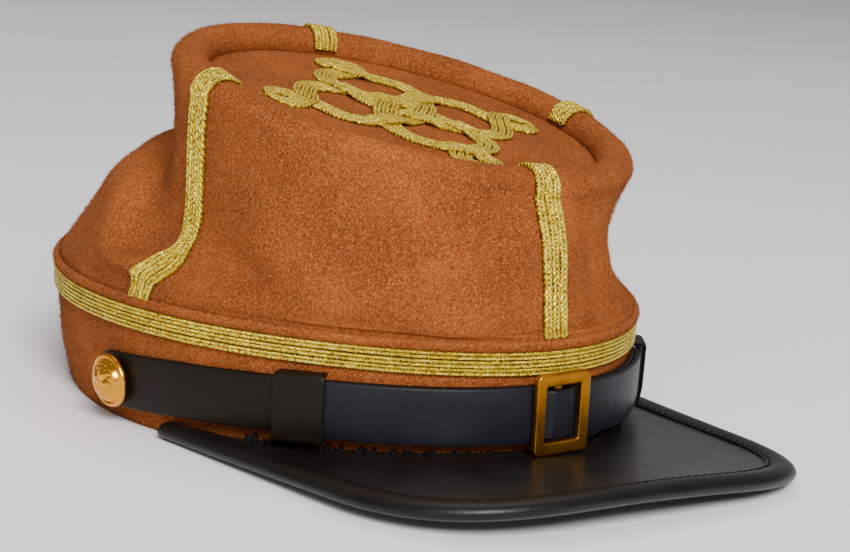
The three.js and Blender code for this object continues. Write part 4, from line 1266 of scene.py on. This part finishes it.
class KEPI_OT_metal(Operator):
    """Builds the brass buckle and the two domed buttons"""

    bl_idname = "kepi.metal"
    bl_label = "Buckle and buttons"

    def execute(self, context):
        outer = rounded_frame(BUCKLE["width"], BUCKLE["height"], BUCKLE["corner"], 8)
        inner = rounded_frame(BUCKLE["window_width"], BUCKLE["window_height"], 0.7, 8)
        depth = BUCKLE["thickness"]
        section = [(0, 0.5), (0.01, 0.14), (0.05, 0.03), (0.12, 0)]
        section += [(0.88, 0), (0.95, 0.03), (0.99, 0.14), (1, 0.5)]
        section += [(1, 1.62), (0.985, 1.84), (0.94, 1.96), (0.86, depth), (0.5, depth + 0.03), (0.16, depth)]
        section += [(0.07, 1.96), (0.015, 1.84), (0, 1.62), (0, 0.5)]
        rows = [points(*(outer + (inner - outer) * share).T, up) for share, up in section]
        meshes = [skin(np.stack(rows, axis=1), ring=True, tube=True, uv=(80, 12))]
        drop = STRAP["thickness"] + 2 * GAP
        post_at = STRAP["half_width"] + GAP + BUCKLE["post"] / 2
        for y, z, wide, tall, deep in (
            (0, STRAP["thickness"] / 2 - drop, BUCKLE["bar"], 2 * post_at, STRAP["thickness"]),
            (post_at, depth / 4 - drop / 2, BUCKLE["bar"], BUCKLE["post"], drop + depth / 2),
            (-post_at, depth / 4 - drop / 2, BUCKLE["bar"], BUCKLE["post"], drop + depth / 2),
        ):
            bar = bmesh.new()
            size = Matrix.Diagonal((wide, tall, deep, 1))
            bmesh.ops.create_cube(bar, size=1, matrix=Matrix.Translation((0, y, z)) @ size)
            soft = {"offset": 0.3, "segments": 2, "affect": "EDGES", "profile": 0.5, "material": -1}
            bmesh.ops.bevel(bar, geom=bar.edges[:], **soft)
            meshes.append(bar)
        bm = joined(meshes)
        bmesh.ops.transform(bm, matrix=buckle_place(), verts=bm.verts)
        add_piece("brass_buckle", bm, finish_of("brass_buckle"), ["buckle"])

        relief_ = context.scene.kepi_metal.relief / MM
        radius, dome = BUTTON["radius"], BUTTON["dome"]
        for name, side in (("right", -1), ("left", 1)):
            angle = np.radians(np.linspace(0, 360, 97))[:, None]
            profile = [(1.6, -1.5), (1.7, 0)] + [(radius - row["inset"], row["up"]) for row in BUTTON_EDGE]
            inside = np.linspace(1, 0.004, 34)
            bowl = radius - 1.5
            out = np.concatenate([[p[0] for p in profile], bowl * inside])[None, :]
            high = 1.7 + (dome - 1.7) * np.sqrt(np.clip(1 - inside**2, 0, 1)) ** 1.15
            up = np.concatenate([[p[1] for p in profile], high])[None, :] + 0 * angle
            petals = np.cos(2.5 * angle) ** 2 * np.exp(-((out / bowl - 0.42) ** 2) / 0.035)
            leaves = np.cos(8 * angle + 9 * out / bowl) ** 2 * np.exp(-((out / bowl - 0.72) ** 2) / 0.006)
            ring = np.exp(-((out / bowl - 0.86) ** 2) / 0.0012)
            boss = np.exp(-((out / bowl) ** 2) / 0.02)
            on_dome = np.arange(out.shape[1])[None, :] >= len(profile)
            up = up + relief_ * on_dome * (petals + 0.5 * leaves + 0.6 * ring + 0.7 * boss)
            places = points(out * np.cos(angle), out * np.sin(angle), up)
            bm = skin(places, ring=True, uv=(48, 14))
            holes = [edge for edge in bm.edges if edge.is_boundary]
            bmesh.ops.holes_fill(bm, edges=holes, sides=0)
            bmesh.ops.recalc_face_normals(bm, faces=bm.faces)
            bmesh.ops.transform(bm, matrix=button_place(side), verts=bm.verts)
            add_piece(f"brass_button_{name}", bm, finish_of("brass_button"), [f"button_{name}"])
        return {"FINISHED"}


# ---------- Stage ----------


def aim(thing, place, target):
    thing.location = place
    thing.rotation_mode = "QUATERNION"
    thing.rotation_quaternion = (Vector(target) - Vector(place)).to_track_quat("-Z", "Y")


class KEPI_OT_stage(Operator):
    """Sets up the floor, the lights and the camera"""

    bl_idname = "kepi.stage"
    bl_label = "Stage"

    def execute(self, context):
        stage, scene = context.scene.kepi_stage, context.scene
        bm = bmesh.new()
        bmesh.ops.create_grid(bm, x_segments=1, y_segments=1, size=12)
        mesh = bpy.data.meshes.new("floor")
        bm.to_mesh(mesh)
        bm.free()
        floor = bpy.data.objects.new("floor", mesh)
        scene.collection.objects.link(floor)
        material, tree, shader = blank_material("floor")
        place = node(tree, "ShaderNodeTexCoord").outputs["Object"]
        colour = ramp(tree, noise(tree, place, 6, 3), [(0.3, (0.87, 0.87, 0.87)), (0.7, (0.9, 0.9, 0.9))])
        tree.links.new(colour, shader.inputs["Base Color"])
        shader.inputs["Roughness"].default_value = 0.9
        shader.inputs["Specular IOR Level"].default_value = 0.1
        mesh.materials.append(material)

        for name, power, size, place in (
            ("key", stage.key, 0.9, (-0.85, -1.8, 1.4)),
            ("fill", stage.fill, 1.3, (-1.7, -0.9, 0.9)),
            ("top", stage.top, 1.4, (0.35, 0.45, 1.9)),
        ):
            light = bpy.data.lights.new(name, "AREA")
            light.energy, light.size = power, size
            lamp = bpy.data.objects.new(name, light)
            scene.collection.objects.link(lamp)
            aim(lamp, place, (0, 0, 0.05))

        world = bpy.data.worlds.new("studio")
        world.use_nodes = True
        backdrop = world.node_tree.nodes["Background"]
        backdrop.inputs["Color"].default_value = (1, 1, 1, 1)
        backdrop.inputs["Strength"].default_value = 0.3
        scene.world = world

        turn, high = math.radians(-VIEW["turn"]), math.radians(VIEW["elevation"])
        look = Vector((math.sin(turn) * math.cos(high), math.cos(turn) * math.cos(high), -math.sin(high)))
        right = look.cross(Vector((0, 0, 1))).normalized()
        upward = right.cross(look)
        roll = math.radians(VIEW["roll"])
        level = right * math.cos(roll) + upward * math.sin(roll)
        upright = upward * math.cos(roll) - right * math.sin(roll)
        spot = Vector((0, 0, 60)) - look * VIEW["distance"] - level * VIEW["aside"] - upright * VIEW["up"]
        lens = bpy.data.cameras.new("camera")
        lens.sensor_width, lens.lens = LENS["sensor"], LENS["focal_share"] * LENS["sensor"]
        camera = bpy.data.objects.new("camera", lens)
        scene.collection.objects.link(camera)
        facing = Matrix((level, upright, -look)).transposed().to_4x4()
        camera.matrix_world = Matrix.Translation(TO_ROW @ spot) @ facing
        scene.camera = camera
        return {"FINISHED"}


class KEPI_PT_panel(Panel):
    """Lists the kepi's pieces"""

    bl_idname = "KEPI_PT_panel"
    bl_label = "Kepi"
    bl_space_type = "VIEW_3D"
    bl_region_type = "UI"
    bl_category = "Kepi"

    def draw(self, context):
        for operator in OPERATORS:
            self.layout.operator(operator.bl_idname)


OPERATORS = (
    KEPI_OT_crown,
    KEPI_OT_top,
    KEPI_OT_band,
    KEPI_OT_braids,
    KEPI_OT_knot,
    KEPI_OT_visor,
    KEPI_OT_strap,
    KEPI_OT_metal,
    KEPI_OT_stage,
)
SETTINGS = {
    "kepi_cloth": KepiClothSettings,
    "kepi_braid": KepiBraidSettings,
    "kepi_leather": KepiLeatherSettings,
    "kepi_metal": KepiMetalSettings,
    "kepi_stage": KepiStageSettings,
}


def register():
    for name, group in SETTINGS.items():
        bpy.utils.register_class(group)
        setattr(bpy.types.Scene, name, PointerProperty(type=group))
    for kind in (*OPERATORS, KEPI_PT_panel):
        bpy.utils.register_class(kind)


def unregister():
    for kind in (KEPI_PT_panel, *reversed(OPERATORS)):
        bpy.utils.unregister_class(kind)
    for name, group in SETTINGS.items():
        delattr(bpy.types.Scene, name)
        bpy.utils.unregister_class(group)


def main():
    register()
    bpy.ops.kepi.crown()
    bpy.ops.kepi.top()
    bpy.ops.kepi.band()
    bpy.ops.kepi.braids()
    bpy.ops.kepi.knot()
    bpy.ops.kepi.visor()
    bpy.ops.kepi.strap()
    bpy.ops.kepi.metal()
    bpy.ops.kepi.stage()


if __name__ == "__main__":
    main()
